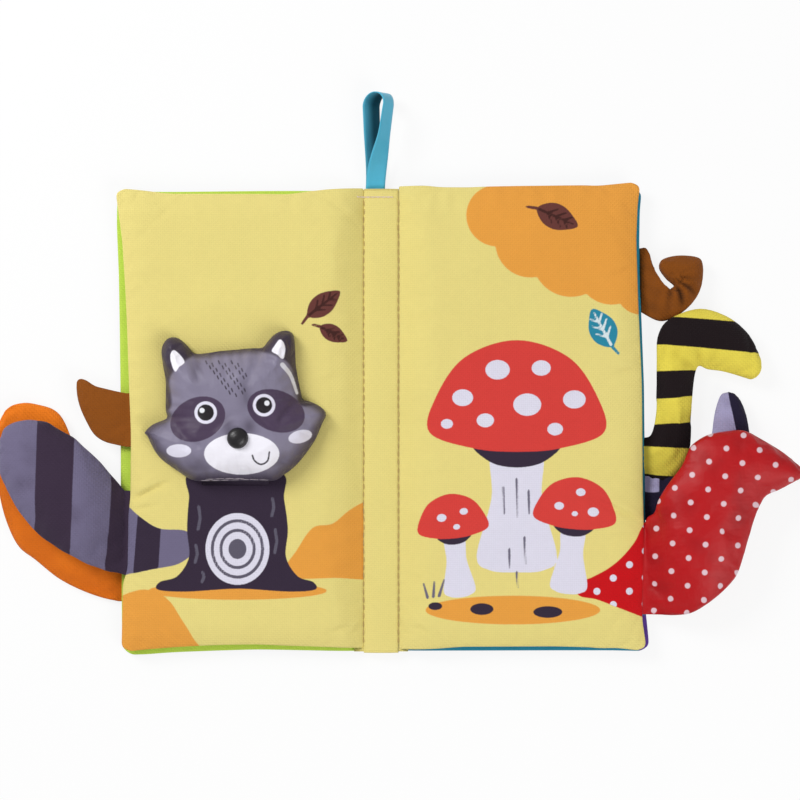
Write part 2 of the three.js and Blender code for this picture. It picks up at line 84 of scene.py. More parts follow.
def linear(hex_colour):
    """Scene-linear red, green and blue of a colour written as six hex digits."""
    parts = [int(hex_colour[i:i + 2], 16) / 255 for i in (0, 2, 4)]
    return tuple(c / 12.92 if c <= 0.04045 else ((c + 0.055) / 1.055) ** 2.4 for c in parts)


def toned(colour, share):
    """A lighter or darker tone of a colour."""
    return [share * c for c in colour]


def length_property(name, description, default):
    """A length that a user can change, in metres."""
    return bpy.props.FloatProperty(
        name=name, description=description, default=default, min=0.0, unit="LENGTH", precision=5)


def colour_property(name, description, hex_colour):
    """A colour that a user can change."""
    return bpy.props.FloatVectorProperty(
        name=name, description=description, default=linear(hex_colour), size=3, min=0.0, max=1.0,
        subtype="COLOR")


class BookSizes(bpy.types.PropertyGroup):
    """Sizes of the sewn details."""
    stitch_length: length_property("Stitch length", "Length of one stitch of the spine seams", 0.0031)
    stitch_gap: length_property("Stitch gap", "Gap between two stitches of a seam", 0.0011)
    thread_thickness: length_property("Thread thickness", "Thickness of the sewing thread", 0.0005)
    thread_pitch: length_property("Weave pitch", "Distance between two threads of the page cloth", 0.0011)
    satin_pitch: length_property("Satin pitch", "Distance between two threads of the satin cloth", 0.0007)
    pucker_depth: length_property("Pucker depth", "Depth of the puckers along the edge seams", 0.00055)
    crease_depth: length_property("Crease depth", "Depth of the creases beside the sewn-in tails", 0.0016)
    page_swell: length_property(
        "Page swell", "How far the padding lifts a page beyond its plain form", 0.0009)
    head_swell: length_property(
        "Head swell", "How far the stuffing lifts the head beyond its plain form", 0.0012)
    dot_radius: length_property("Dot radius", "Radius of the dots on the red tail", 0.00145)


class BookColours(bpy.types.PropertyGroup):
    """Colours of the cloths, prints and threads."""
    page: colour_property("Page", "Yellow of the page cloth", "EEDE88")
    lime: colour_property("Lime lining", "Green of the cloth behind the left page", "C6E354")
    teal: colour_property("Teal lining", "Teal of the cloth behind the right page", "2B8CA6")
    purple: colour_property("Cover", "Purple of the cover cloth", "63409A")
    orange_print: colour_property("Orange print", "Orange of the printed hills and clouds", "F0A545")
    plum: colour_property("Plum", "Dark plum of the prints and the dark fur", "362A3D")
    lavender: colour_property("Lavender", "Pale lavender of the prints and the muzzle", "E6E3F3")
    coral: colour_property("Coral", "Coral red of the printed toadstools", "DE423C")
    leaf_brown: colour_property("Leaf brown", "Brown of the printed leaves", "6B3B36")
    leaf_teal: colour_property("Leaf teal", "Teal of the printed leaf", "2A8CA8")
    grey: colour_property("Grey fur", "Grey of the head", "857F95")
    tail_grey: colour_property("Tail grey", "Grey of the striped tail", "746D8A")
    tail_dark: colour_property("Tail dark", "Dark stripes of the grey tail", "3B2D41")
    orange: colour_property("Orange tail", "Orange of the orange tail", "F5801A")
    brown: colour_property("Brown tail", "Brown of the two brown tails", "904E0E")
    red: colour_property("Red tail", "Red of the satin tail", "BC0812")
    stripe_yellow: colour_property("Stripe yellow", "Yellow of the striped tail", "F0DE55")
    stripe_black: colour_property("Stripe black", "Black of the striped tail", "190E12")
    lilac: colour_property("Lilac", "Lilac of the two-coloured tail", "B0AAD0")
    navy: colour_property("Navy", "Navy of the two-coloured tail", "221C36")
    ribbon: colour_property("Ribbon", "Blue of the ribbon loop", "50BADA")
    thread: colour_property("Thread", "Colour of the spine stitches", "D2B36E")
    pink_thread: colour_property("Pale thread", "Colour of the bar tack and the chin seam", "E6DAE2")


# Small numeric tools, in millimetres


def smooth(share):
    """Goes from 0 to 1 with no kink at either end."""
    share = np.clip(share, 0, 1)
    return share * share * (3 - 2 * share)


def cloud(points, scale, seed=0.0, octaves=1):
    """Smooth noise of about -1 to 1 at each point; scale is the size of its lumps."""
    total, weight = np.zeros(len(points)), 1.0
    for octave in range(octaves):
        step = 2 ** octave / scale
        total += weight * np.array([noise.noise(Vector((p[0] * step + seed, p[1] * step - seed, p[2] * step)))
                                    for p in points])
        weight *= 0.5
    return total


def curve_through(points, steps=8, closed=True):
    """A Catmull-Rom curve through the points."""
    pts = np.array(points, float)
    if closed:
        pts = np.vstack([pts[-1:], pts, pts[:2]])
    else:
        pts = np.vstack([2 * pts[:1] - pts[1:2], pts, 2 * pts[-1:] - pts[-2:-1]])
    out = []
    for i in range(1, len(pts) - 2):
        p0, p1, p2, p3 = pts[i - 1:i + 3]
        for t in np.arange(steps) / steps:
            out.append(0.5 * (2 * p1 + (p2 - p0) * t + (2 * p0 - 5 * p1 + 4 * p2 - p3) * t * t
                              + (3 * p1 - p0 - 3 * p2 + p3) * t ** 3))
    if not closed:
        out.append(pts[-2])
    return np.array(out)


def segment_distance(points, a, b):
    """Distance from each point to the segment from a to b, and how far along it the nearest place is."""
    a, b = np.array(a, float), np.array(b, float)
    d = b - a
    t = np.clip(((points - a) @ d) / max(float(d @ d), 1e-9), 0, 1)
    return np.linalg.norm(points - (a + t[:, None] * d), axis=1), t


def area_ink(points, outline):
    """Signed distance to a closed outline, positive inside."""
    outline = np.array(outline, float)
    nearest = np.full(len(points), 1e9)
    inside = np.zeros(len(points), bool)
    for a, b in zip(outline, np.roll(outline, -1, axis=0)):
        nearest = np.minimum(nearest, segment_distance(points, a, b)[0])
        crosses = (a[1] > points[:, 1]) != (b[1] > points[:, 1])
        rise = b[1] - a[1] if b[1] != a[1] else 1e-9
        inside ^= crosses & (points[:, 0] < (b[0] - a[0]) * (points[:, 1] - a[1]) / rise + a[0])
    return np.where(inside, nearest, -nearest)


def oval_ink(points, centre, radii, turn=0.0):
    """About the signed distance to an oval, positive inside. turn is in degrees."""
    angle = math.radians(turn)
    d = points - np.array(centre, float)
    x = (d[:, 0] * math.cos(angle) + d[:, 1] * math.sin(angle)) / radii[0]
    y = (d[:, 1] * math.cos(angle) - d[:, 0] * math.sin(angle)) / radii[1]
    r = np.hypot(x, y)
    slope = np.hypot(x / radii[0], y / radii[1]) / np.maximum(r, 1e-6)
    return (1 - r) / np.maximum(slope, 1 / max(radii))


def line_ink(points, route, half_width, end_share=1.0):
    """Signed distance to a brushed line, positive inside; it narrows to end_share of its width."""
    best = np.full(len(points), -1e9)
    count = len(route) - 1
    for i in range(count):
        distance, t = segment_distance(points, route[i], route[i + 1])
        width = half_width * (1 + (end_share - 1) * (i + t) / count)
        best = np.maximum(best, width - distance)
    return best


def union(*inks):
    return np.maximum.reduce(inks)


def placed(points, centre, turn):
    """The points seen from a motif's own centre and turn, in degrees."""
    angle = math.radians(turn)
    d = points - np.array(centre, float)
    return np.column_stack([d[:, 0] * math.cos(angle) + d[:, 1] * math.sin(angle),
                            d[:, 1] * math.cos(angle) - d[:, 0] * math.sin(angle)])


# Meshes


def shade_smooth(mesh):
    mesh.polygons.foreach_set("use_smooth", [True] * len(mesh.polygons))


def make_piece(name, points, faces, face_slots=None):
    """A smooth-shaded mesh object from points in millimetres."""
    mesh = bpy.data.meshes.new(name)
    places = np.asarray(points, float) * MM
    mesh.from_pydata([tuple(place) for place in places], [], [tuple(map(int, face)) for face in faces])
    mesh.update()
    shade_smooth(mesh)
    if face_slots is not None:
        mesh.polygons.foreach_set("material_index", [int(i) for i in face_slots])
    piece = bpy.data.objects.new(name, mesh)
    bpy.context.scene.collection.objects.link(piece)
    return piece


def vertices_of(mesh):
    """A mesh's vertices in its own units."""
    flat = np.zeros(len(mesh.vertices) * 3)
    mesh.vertices.foreach_get("co", flat)
    return flat.reshape(-1, 3)


def points_of(piece):
    """The piece's vertices in millimetres."""
    return vertices_of(piece.data) / MM


def move_points(piece, points):
    piece.data.vertices.foreach_set("co", (np.asarray(points, float) * MM).ravel())
    piece.data.update()


def keep_value(piece, name, values):
    """Keeps one number per vertex for the materials."""
    attribute = piece.data.attributes.new(name, "FLOAT", "POINT")
    attribute.data.foreach_set("value", np.asarray(values, np.float32))


def kept_values(piece, name):
    """Reads back one number per vertex."""
    values = np.zeros(len(piece.data.vertices), np.float32)
    piece.data.attributes[name].data.foreach_get("value", values)
    return values


def keep_print_places(piece, points):
    """Keeps each vertex's place in the flat print, in metres."""
    keep_value(piece, "print_x", points[:, 0] * MM)
    keep_value(piece, "print_y", points[:, 1] * MM)


def keep_inks(piece, **inks):
    """Keeps the signed distance to each printed shape, under its ink's name."""
    for ink, values in inks.items():
        keep_value(piece, ink + "_ink", values)


def shaped_mesh(piece):
    """A new mesh of the piece as its modifiers shape it."""
    return bpy.data.meshes.new_from_object(piece.evaluated_get(bpy.context.evaluated_depsgraph_get()))


def finer(piece, kind="CATMULL_CLARK"):
    """Subdivides the piece's own mesh once."""
    modifier = piece.modifiers.new("finer", "SUBSURF")
    modifier.levels = modifier.render_levels = 1
    modifier.subdivision_type = kind
    bpy.context.view_layer.update()
    shaped = shaped_mesh(piece)
    piece.modifiers.clear()
    piece.data = shaped
    shade_smooth(piece.data)


def grid_faces(wide, high, start=0, turned=False, wrap=False):
    """Quads over a grid of points kept row by row."""
    faces = []
    for row in range(high - 1):
        for column in range(wide if wrap else wide - 1):
            right = (column + 1) % wide
            face = [start + row * wide + column, start + row * wide + right,
                    start + (row + 1) * wide + right, start + (row + 1) * wide + column]
            faces.append(face[::-1] if turned else face)
    return faces


def end_caps(wide, count):
    """The two faces that close a tube of count points, in rings of wide points."""
    return [list(range(wide))[::-1], [count - wide + k for k in range(wide)]]


def fan(start, wide, tip, turned=False):
    """Triangles from a ring of points to one point."""
    sides = [(start + k, start + (k + 1) % wide) for k in range(wide)]
    return [[b, a, tip] if turned else [a, b, tip] for a, b in sides]


TRIAL_SCALE = 10.0
TRIAL_STEPS = 16


def stuffed_by_simulation(points, faces, held, pressure, spare, cap):
    """Fills a closed cloth form with air while its seam points are held, and returns where its points come
    to lie. It is simulated at ten times its size, which cloth settings suit better. pressure is the air's,
    spare the share by which the cloth is cut larger, and cap the farthest that a point may move, in
    millimetres."""
    piece = make_piece("cloth_trial", points * TRIAL_SCALE, faces)
    group = piece.vertex_groups.new(name="seam")
    group.add([int(i) for i in np.flatnonzero(held)], 1.0, "REPLACE")
    modifier = piece.modifiers.new("stuffing", "CLOTH")
    cloth = modifier.settings
    cloth.quality = 6
    cloth.mass = 0.3
    cloth.tension_stiffness = cloth.compression_stiffness = 25
    cloth.shear_stiffness = 12
    cloth.bending_stiffness = 0.4
    cloth.use_pressure = True
    cloth.uniform_pressure_force = pressure
    cloth.shrink_min = -spare
    cloth.vertex_group_mass = "seam"
    cloth.effector_weights.gravity = 0
    modifier.collision_settings.use_collision = False
    modifier.point_cache.frame_start = 1
    modifier.point_cache.frame_end = TRIAL_STEPS
    scene = bpy.context.scene
    for step in range(1, TRIAL_STEPS + 1):
        scene.frame_set(step)
    shaped = shaped_mesh(piece)
    moved = vertices_of(shaped) / MM / TRIAL_SCALE - points
    bpy.data.meshes.remove(shaped)
    bpy.data.objects.remove(piece)
    scene.frame_set(1)
    moved[~np.isfinite(moved).all(axis=1)] = 0
    far = np.linalg.norm(moved, axis=1)
    return points + moved * (cap * np.tanh(far / cap) / np.maximum(far, 1e-9))[:, None]


def as_seen(points):
    """Where the points appear on the pages' level, seen from straight above. Raised forms are printed so."""
    eye = np.array(CAMERA) / MM
    return eye[:2] + (points[:, :2] - eye[:2]) * ((eye[2] - PAGE_TOP) / (eye[2] - points[:, 2]))[:, None]


ABOVE_ALL = 0.2


def height_finder(*pieces):
    """A function that gives the top height of the pieces at a place, in millimetres."""
    trees = []
    for piece in pieces:
        mesh = piece.data
        trees.append(BVHTree.FromPolygons([piece.matrix_world @ v.co for v in mesh.vertices],
                                          [tuple(p.vertices) for p in mesh.polygons]))

    def height(x, y, fallback=0.0):
        best = None
        for tree in trees:
            hit = tree.ray_cast(Vector((x * MM, y * MM, ABOVE_ALL)), Vector((0, 0, -1)))[0]
            if hit is not None:
                best = hit.z / MM if best is None else max(best, hit.z / MM)
        return fallback if best is None else best

    return height


def thread_stitch(start, end, radius, height, lift):
    """Points and faces of one stitch that dives into the cloth at both ends."""
    start, end = np.array(start, float), np.array(end, float)
    along = (end - start) / np.linalg.norm(end - start)
    side = np.array([-along[1], along[0]])
    points, sides, stations = [], 6, np.linspace(0, 1, 7)
    end_share, sink = 0.55, 0.6
    for t in stations:
        centre = start + (end - start) * t
        bulge = math.sin(math.pi * t) ** 0.6
        thick = radius * (end_share + 0.45 * bulge)
        top = height(centre[0], centre[1]) + lift * bulge - radius * sink
        for k in range(sides):
            angle = 2 * math.pi * k / sides
            place = centre + side * thick * math.cos(angle)
            points.append((place[0], place[1], top + thick * math.sin(angle)))
    return points, grid_faces(sides, len(stations), wrap=True) + end_caps(sides, len(points))


SWAY_PITCH = 0.11


def stitch_row(name, route, radius, pitch, share, height, lift=0.25, sway=0.0, seed=1.0):
    """A row of stitches along a route of points, as one piece. share is a stitch's part of its pitch."""
    route = np.array(route, float)
    gaps = np.linalg.norm(np.diff(route, axis=0), axis=1)
    total = gaps.sum()
    reach = np.concatenate([[0], np.cumsum(gaps)])

    def at(d):
        x = np.interp(d, reach, route[:, 0])
        y = np.interp(d, reach, route[:, 1])
        return np.array([x + sway * noise.noise(Vector((d * SWAY_PITCH, seed, 0))),
                         y + sway * noise.noise(Vector((seed, d * SWAY_PITCH, 3.0)))])

    points, faces = [], []
    for k in range(int(total / pitch)):
        part, part_faces = thread_stitch(at(k * pitch), at((k + share) * pitch), radius, height, lift)
        faces += [[i + len(points) for i in f] for f in part_faces]
        points += part
    return make_piece(name, points, faces)


# Shader groups and materials


class Nodes:
    """Short words for making and linking shader nodes."""

    def __init__(self, tree):
        self.tree = tree

    def new(self, kind, **settings):
        node = self.tree.nodes.new(kind)
        for name, value in settings.items():
            setattr(node, name, value)
        return node

    def feed(self, socket, value):
        if isinstance(value, bpy.types.NodeSocket):
            self.tree.links.new(value, socket)
        elif value is not None:
            socket.default_value = value

    def math(self, operation, a, b=None, c=None, clamp=False):
        node = self.new("ShaderNodeMath", operation=operation, use_clamp=clamp)
        for socket, value in zip(node.inputs, (a, b, c)):
            self.feed(socket, value)
        return node.outputs[0]

    def mix(self, mask, a, b, blend="MIX"):
        node = self.new("ShaderNodeMix", data_type="RGBA", blend_type=blend)
        self.feed(node.inputs[0], mask)
        self.feed(node.inputs[6], a if isinstance(a, bpy.types.NodeSocket) else (*a, 1.0))
        self.feed(node.inputs[7], b if isinstance(b, bpy.types.NodeSocket) else (*b, 1.0))
        return node.outputs[2]

    def noise(self, vector, scale, detail=2.0, roughness=0.5):
        node = self.new("ShaderNodeTexNoise")
        self.feed(node.inputs["Vector"], vector)
        node.inputs["Scale"].default_value = scale
        node.inputs["Detail"].default_value = detail
        node.inputs["Roughness"].default_value = roughness
        return node.outputs["Fac"]

    def value(self, name):
        return self.new("ShaderNodeAttribute", attribute_name=name).outputs["Fac"]

    def split(self, vector):
        node = self.new("ShaderNodeSeparateXYZ")
        self.feed(node.inputs[0], vector)
        return node.outputs

    def bump(self, height, distance, strength=1.0, under=None):
        node = self.new("ShaderNodeBump")
        node.inputs["Strength"].default_value = strength
        node.inputs["Distance"].default_value = distance
        self.feed(node.inputs["Height"], height)
        self.feed(node.inputs["Normal"], under)
        return node.outputs["Normal"]

    def surface(self, output):
        self.feed(self.new("ShaderNodeOutputMaterial").inputs["Surface"], output)

    def group(self, label, **inputs):
        """One of the shared effects, built when it is first asked for."""
        tree = bpy.data.node_groups.get(label) or EFFECTS[label](label)
        node = self.new("ShaderNodeGroup", node_tree=tree)
        for name, value in inputs.items():
            self.feed(node.inputs[name], value)
        return node


def shader_group(name, inputs, outputs):
    """An empty shader node group with named sockets, its nodes and its two ends."""
    tree = bpy.data.node_groups.new(name, "ShaderNodeTree")
    for label, kind, default in inputs:
        socket = tree.interface.new_socket(label, in_out="INPUT", socket_type=kind)
        if default is not None:
            socket.default_value = default
    for label in outputs:
        tree.interface.new_socket(label, in_out="OUTPUT", socket_type="NodeSocketFloat")
    nodes = Nodes(tree)
    return tree, nodes, nodes.new("NodeGroupInput"), nodes.new("NodeGroupOutput")


def weave_group(label):
    """Plain weave: warp and weft threads that pass over and under each other."""
    tree, n, given, result = shader_group(
        label, [("Vector", "NodeSocketVector", None), ("Pitch", "NodeSocketFloat", 0.001)],
        ["Height", "Thread"])
    scaled = n.new("ShaderNodeVectorMath", operation="SCALE")
    n.feed(scaled.inputs[0], given.outputs["Vector"])
    n.feed(scaled.inputs["Scale"], n.math("DIVIDE", math.pi, given.outputs["Pitch"]))
    drift = n.noise(given.outputs["Vector"], 160.0)
    x, y, _ = n.split(scaled.outputs[0])
    lean = n.math("MULTIPLY", drift, 1.6)
    across = n.math("SINE", n.math("ADD", x, lean))
    along = n.math("SINE", n.math("ADD", y, lean))
    over = n.math("GREATER_THAN", n.math("MULTIPLY", across, along), 0.0)
    warp, weft = n.math("ABSOLUTE", across), n.math("ABSOLUTE", along)
    picked = n.new("ShaderNodeMix", data_type="FLOAT")
    n.feed(picked.inputs[0], over)
    n.feed(picked.inputs[2], warp)
    n.feed(picked.inputs[3], weft)
    slub = n.math("MULTIPLY", n.math("SUBTRACT", drift, 0.5), 0.8)
    n.feed(result.inputs["Height"], n.math("ADD", picked.outputs[0], slub))
    n.feed(result.inputs["Thread"], picked.outputs[0])
    return tree


def mottle_group(label):
    """Slow and fine changes of a dyed cloth's tone, about 0 to 1, and its small folds."""
    tree, n, given, result = shader_group(label, [("Vector", "NodeSocketVector", None)], ["Tone", "Fold"])
    slow = n.noise(given.outputs["Vector"], 28.0, 2.0)
    fine = n.noise(given.outputs["Vector"], 420.0, 3.0, 0.6)
    slow, fine = n.math("MULTIPLY", slow, 0.55), n.math("MULTIPLY", fine, 0.45)
    n.feed(result.inputs["Tone"], n.math("ADD", slow, fine))
    n.feed(result.inputs["Fold"], n.noise(given.outputs["Vector"], 75.0, 3.0, 0.55))
    return tree


def ink_group(label):
    """Turns the distance to a printed edge, in millimetres, into a mask with a slightly bled edge."""
    tree, n, given, result = shader_group(
        label, [("Distance", "NodeSocketFloat", 0.0), ("Vector", "NodeSocketVector", None),
                ("Softness", "NodeSocketFloat", 0.22)], ["Mask"])
    ragged = n.math("MULTIPLY", n.math("SUBTRACT", n.noise(given.outputs["Vector"], 900.0, 1.0), 0.5), 0.25)
    moved = n.math("ADD", given.outputs["Distance"], ragged)
    share = n.math("DIVIDE", moved, n.math("MULTIPLY", given.outputs["Softness"], 2.0))
    n.feed(result.inputs["Mask"], n.math("ADD", share, 0.5, clamp=True))
    return tree


def dots_group(label):
    """Rows of dots, every second row moved on by half a pitch."""
    tree, n, given, result = shader_group(
        label, [("Vector", "NodeSocketVector", None), ("Pitch", "NodeSocketFloat", 0.01685),
                ("Row", "NodeSocketFloat", 0.00685), ("Radius", "NodeSocketFloat", 0.0016)], ["Mask"])
    places = n.split(given.outputs["Vector"])[:2]
    pitches = (given.outputs["Pitch"], n.math("MULTIPLY", given.outputs["Row"], 2.0))
    whole_pitches = 100.0
    sharpness = 2500.0
    masks = []
    for shift in (0.0, 0.5):
        squares = []
        for place, pitch in zip(places, pitches):
            turns = n.math("ADD", n.math("DIVIDE", place, pitch), shift + whole_pitches)
            away = n.math("MULTIPLY", n.math("SUBTRACT", n.math("FRACT", turns), 0.5), pitch)
            squares.append(n.math("MULTIPLY", away, away))
        inside = n.math("SUBTRACT", given.outputs["Radius"], n.math("SQRT", n.math("ADD", *squares)))
        masks.append(n.math("ADD", n.math("MULTIPLY", inside, sharpness), 0.5, clamp=True))
    n.feed(result.inputs["Mask"], n.math("MAXIMUM", *masks))
    return tree


EFFECTS = {"Plain Weave": weave_group, "Dye Mottle": mottle_group, "Ink Edge": ink_group,
           "Dot Rows": dots_group}


def new_surface(name):
    """An empty material and the words for its nodes."""
    material = bpy.data.materials.new(name)
    material.use_nodes = True
    material.node_tree.nodes.clear()
    return material, Nodes(material.node_tree)


BLACK = (0.0, 0.0, 0.0)
THREAD_SHADE = (0.05, 0.04, 0.03)


def cloth_material(name, colour, pitch, inks=(), roughness=0.82, sheen=0.08, weave_depth=0.00012, tone=0.12,
                   fold_depth=0.0, dots=None, satin=False, shade=None):
    """Cloth with a weave, uneven dye and any printed shapes; inks are (kept value, colour), first to last."""
    material, n = new_surface(name)
    place = n.new("ShaderNodeTexCoord").outputs["Object"]
    weave = n.group("Plain Weave", Vector=place, Pitch=pitch)
    mottle = n.group("Dye Mottle", Vector=place)

    def printed(kept):
        return n.group("Ink Edge", Distance=n.value(kept), Vector=place).outputs["Mask"]

    base = tuple(colour)
    # shade is (kept value, dark colour, strength): painted shade, which on the head also carries the dark
    # fur's own colour.
    if shade is not None:
        kept, dark, strength = shade
        base = n.mix(n.math("MULTIPLY", n.value(kept), strength, clamp=True), base, tuple(dark))
    for kept, ink in inks:
        base = n.mix(printed(kept), base, tuple(ink))
    if dots is not None:
        flat = n.new("ShaderNodeCombineXYZ")
        n.feed(flat.inputs[0], n.value("print_x"))
        n.feed(flat.inputs[1], n.value("print_y"))
        turned = n.new("ShaderNodeMapping")
        n.feed(turned.inputs["Vector"], flat.outputs[0])
        turned.inputs["Location"].default_value = dots["move"]
        turned.inputs["Rotation"].default_value = (0, 0, dots["turn"])
        mask = n.group("Dot Rows", Vector=turned.outputs[0], Radius=dots["radius"], Pitch=dots["pitch"],
                       Row=dots["row"]).outputs["Mask"]
        if "within" in dots:
            mask = n.math("MULTIPLY", mask, printed(dots["within"]))
        base = n.mix(mask, base, tuple(dots["colour"]))
    thread_contrast, gloss, relief = (0.04, 0.28, 0.55) if satin else (0.08, 0.12, 1.0)
    base = n.mix(n.math("MULTIPLY", n.math("SUBTRACT", 1.0, mottle.outputs["Tone"]), tone), base, BLACK)
    # Painted shade in the hollows between the weave's threads: the colour darkens towards THREAD_SHADE there.
    thread = n.math("MULTIPLY", n.math("SUBTRACT", 1.0, weave.outputs["Thread"]), thread_contrast)
    shader = n.new("ShaderNodeBsdfPrincipled")
    n.feed(shader.inputs["Base Color"], n.mix(thread, base, THREAD_SHADE))
    rough = n.math("ADD", n.math("MULTIPLY", mottle.outputs["Fold"], 0.12), roughness - 0.06)
    n.feed(shader.inputs["Roughness"], rough)
    shader.inputs["Sheen Weight"].default_value = sheen
    shader.inputs["Sheen Roughness"].default_value = 0.5
    shader.inputs["Specular IOR Level"].default_value = gloss
    normal = n.bump(weave.outputs["Height"], weave_depth, relief)
    if fold_depth:
        normal = n.bump(mottle.outputs["Fold"], fold_depth, under=normal)
    n.feed(shader.inputs["Normal"], normal)
    n.surface(shader.outputs[0])
    return material


def grained_material(name, colour, grain, bump_depth, shade, shade_share, roughness, rough_share):
    """A surface with one fine grain, (scale, detail, roughness), in its tone, its gloss and its relief."""
    material, n = new_surface(name)
    tone = n.noise(n.new("ShaderNodeTexCoord").outputs["Object"], *grain)
    shader = n.new("ShaderNodeBsdfPrincipled")
    n.feed(shader.inputs["Base Color"], n.mix(n.math("MULTIPLY", tone, shade_share), tuple(colour), shade))
    n.feed(shader.inputs["Roughness"], n.math("ADD", n.math("MULTIPLY", tone, rough_share), roughness))
    n.feed(shader.inputs["Normal"], n.bump(tone, bump_depth))
    n.surface(shader.outputs[0])
    return material


def thread_material(name, colour):
    """Twisted sewing thread."""
    dark = tuple(toned(colour, 0.35))
    return grained_material(name, colour, (1800.0, 2.0), 0.0002, dark, 0.5, 0.5, 0.2)


def moulded_material(name, colour, roughness, grain_scale, grain_depth, shade_share=0.1):
    """Moulded plastic, film or fibre with a fine grain."""
    grain = (grain_scale, 3.0, 0.6)
    return grained_material(name, colour, grain, grain_depth, BLACK, shade_share, roughness, 0.15)


def named_material(key, **choices):
    """One of the book's materials, made once."""
    sizes, colours = bpy.context.scene.book_sizes, bpy.context.scene.book_colours
    found = bpy.data.materials.get(key)
    if found:
        return found
    if key.endswith("_thread"):
        return thread_material(key, choices["colour"])
    choices.setdefault("pitch", sizes.thread_pitch)
    choices.setdefault("colour", colours.page)
    return cloth_material(key, **choices)


# Sizes taken over from the frame, in millimetres

CAMERA = (0.0098, 0.0108, 0.985)  # in metres
PAGE_TOP = 10.0
STITCH_HALF_GAP = 9.0
PAGE_HEIGHT = 240.0
LEAF_THICKNESS = 5.0
SEAM_HALF = 0.75
EDGE_EASE = 14.0
ROOT_EDGE = 9.3
CORNER_ROUND = 4.5
HEAD_CENTRE_X = -75.0
CHIN_Y = -31.0
HEAD_HEIGHT, HEAD_THICKNESS = 77.5, 16.0
HEAD_BASE = 11.7
HEAD_EDGE = 1.2
HEAD_CENTRE_Y = CHIN_Y + 0.42 * HEAD_HEIGHT

# A leaf's outer edge is given as (y, reach), its top and bottom edges as (reach, y)
LEAVES = {
    "right_page": {"side": 1, "level": 7.8, "root": 3.55,
                   "outer": [(-120, 137.2), (-112, 136.3), (-106, 135.2), (-100, 134.9), (-63, 135.9),
                             (-36, 135.2), (17, 134.7), (58, 132.9), (90, 131.9), (108, 132.6), (120, 134.2)],
                   "top": [(9, 121.6), (24, 121.5), (30, 120.7), (46, 120.6), (54, 121.0), (70, 121.3),
                           (105, 121.7), (112, 121.4), (120, 122.2), (128, 123.0), (134, 123.4)],
                   "bottom": [(9, -118.4), (28, -117.7), (42, -116.6), (90, -116.4), (106, -116.8),
                              (114, -117.4), (122, -117.2), (132, -118.4), (138, -119.0)]},
    "left_page": {"side": -1, "level": 7.8, "root": 3.55,
                  "outer": [(-120, 134.2), (-84, 133.4), (-78, 131.0), (-48, 130.6), (-41, 129.5),
                            (-10, 129.2), (13, 130.0), (50, 131.3), (67, 132.1), (93, 133.8), (108, 135.8),
                            (120, 137.4)],
                  "top": [(9, 120.6), (28, 119.6), (38, 118.4), (48, 117.0), (60, 117.2), (110, 117.3),
                          (122, 118.9), (130, 119.7), (138, 120.0)],
                  "bottom": [(9, -117.6), (15, -117.4), (32, -116.6), (48, -116.1), (64, -115.4),
                             (80, -115.6), (92, -116.0), (106, -116.8), (114, -117.4), (122, -118.1),
                             (130, -119.0), (138, -119.2)]},
    "back_cover": {"side": 1, "level": 2.5, "root": 1.25,
                   "outer": [(-120, 139.4), (-114, 139.0), (-106, 138.2), (-98, 137.3), (-63, 137.3),
                             (17, 136.5), (58, 135.0), (90, 134.1), (108, 134.4), (120, 135.6)],
                   "top": [(9, 119.6), (70, 119.6), (105, 119.8), (134, 121.0)],
                   "bottom": [(9, -119.4), (90, -119.2), (120, -119.2), (139, -119.6)]},
    "front_cover": {"side": -1, "level": 2.5, "root": 1.25,
                    "outer": [(-120, 134.6), (-80, 134.9), (-40, 135.2), (13, 135.3), (50, 135.8),
                              (77, 136.3), (93, 137.0), (103, 137.4), (120, 137.0)],
                    "top": [(9, 119.4), (60, 119.3), (110, 118.8), (138, 119.2)],
                    "bottom": [(9, -119.6), (24, -119.5), (48, -119.0), (64, -118.7), (85, -119.3),
                               (106, -120.1), (114, -120.6), (122, -121.3), (138, -121.6)]},
}

# Creases that run in from a leaf's outer edge: place along the edge, lean, length, strength
SEAM_PULLS = {
    "right_page": [(-52.0, 0.42, 30.0, 1.1), (-61.0, 0.1, 16.0, 0.6), (-98.0, 0.5, 15.0, 0.4),
                   (23.0, 0.25, 12.0, 0.5), (27.0, -0.3, 20.0, 0.3), (80.0, -0.35, 14.0, 0.3)],
    "left_page": [(-41.0, 0.48, 27.0, 1.3), (-46.0, 0.15, 15.0, 0.8), (-79.0, -0.3, 13.0, 0.4),
                  (15.0, 0.3, 10.0, 0.3), (-14.0, -0.25, 12.0, 0.4), (66.0, 0.2, 14.0, 0.3)],
    "back_cover": [(-9.0, 0.2, 12.0, 0.2), (-50.0, 0.2, 12.0, 0.2)],
    "front_cover": [(-52.0, 0.2, 12.0, 0.2), (-93.0, 0.2, 12.0, 0.2)],
}


def eased(table, at):
    """Reads a table of (place, value) pairs with soft bends."""
    table = np.array(table, float)
    spread = np.linspace(-3.0, 3.0, 7)
    return np.mean([np.interp(at + step, table[:, 0], table[:, 1]) for step in spread], axis=0)


def leaf_edge(leaf, y):
    """Reach of a leaf's outer edge at a height, with its corners rounded."""
    into = np.clip((np.abs(y) - PAGE_HEIGHT / 2 + CORNER_ROUND) / CORNER_ROUND, 0, 1)
    return eased(leaf["outer"], y) - CORNER_ROUND * (1 - np.sqrt(1 - into ** 2))


def puff(distance):
    """Rises from 0 at a seam to 1 where the padding is full."""
    return np.sin(np.clip(distance / EDGE_EASE, 0, 1) * math.pi / 2)


# How much closer the rows and columns of a leaf's grid lie towards its edges
CLOSER_ACROSS, CLOSER_UP = 0.055, 0.04


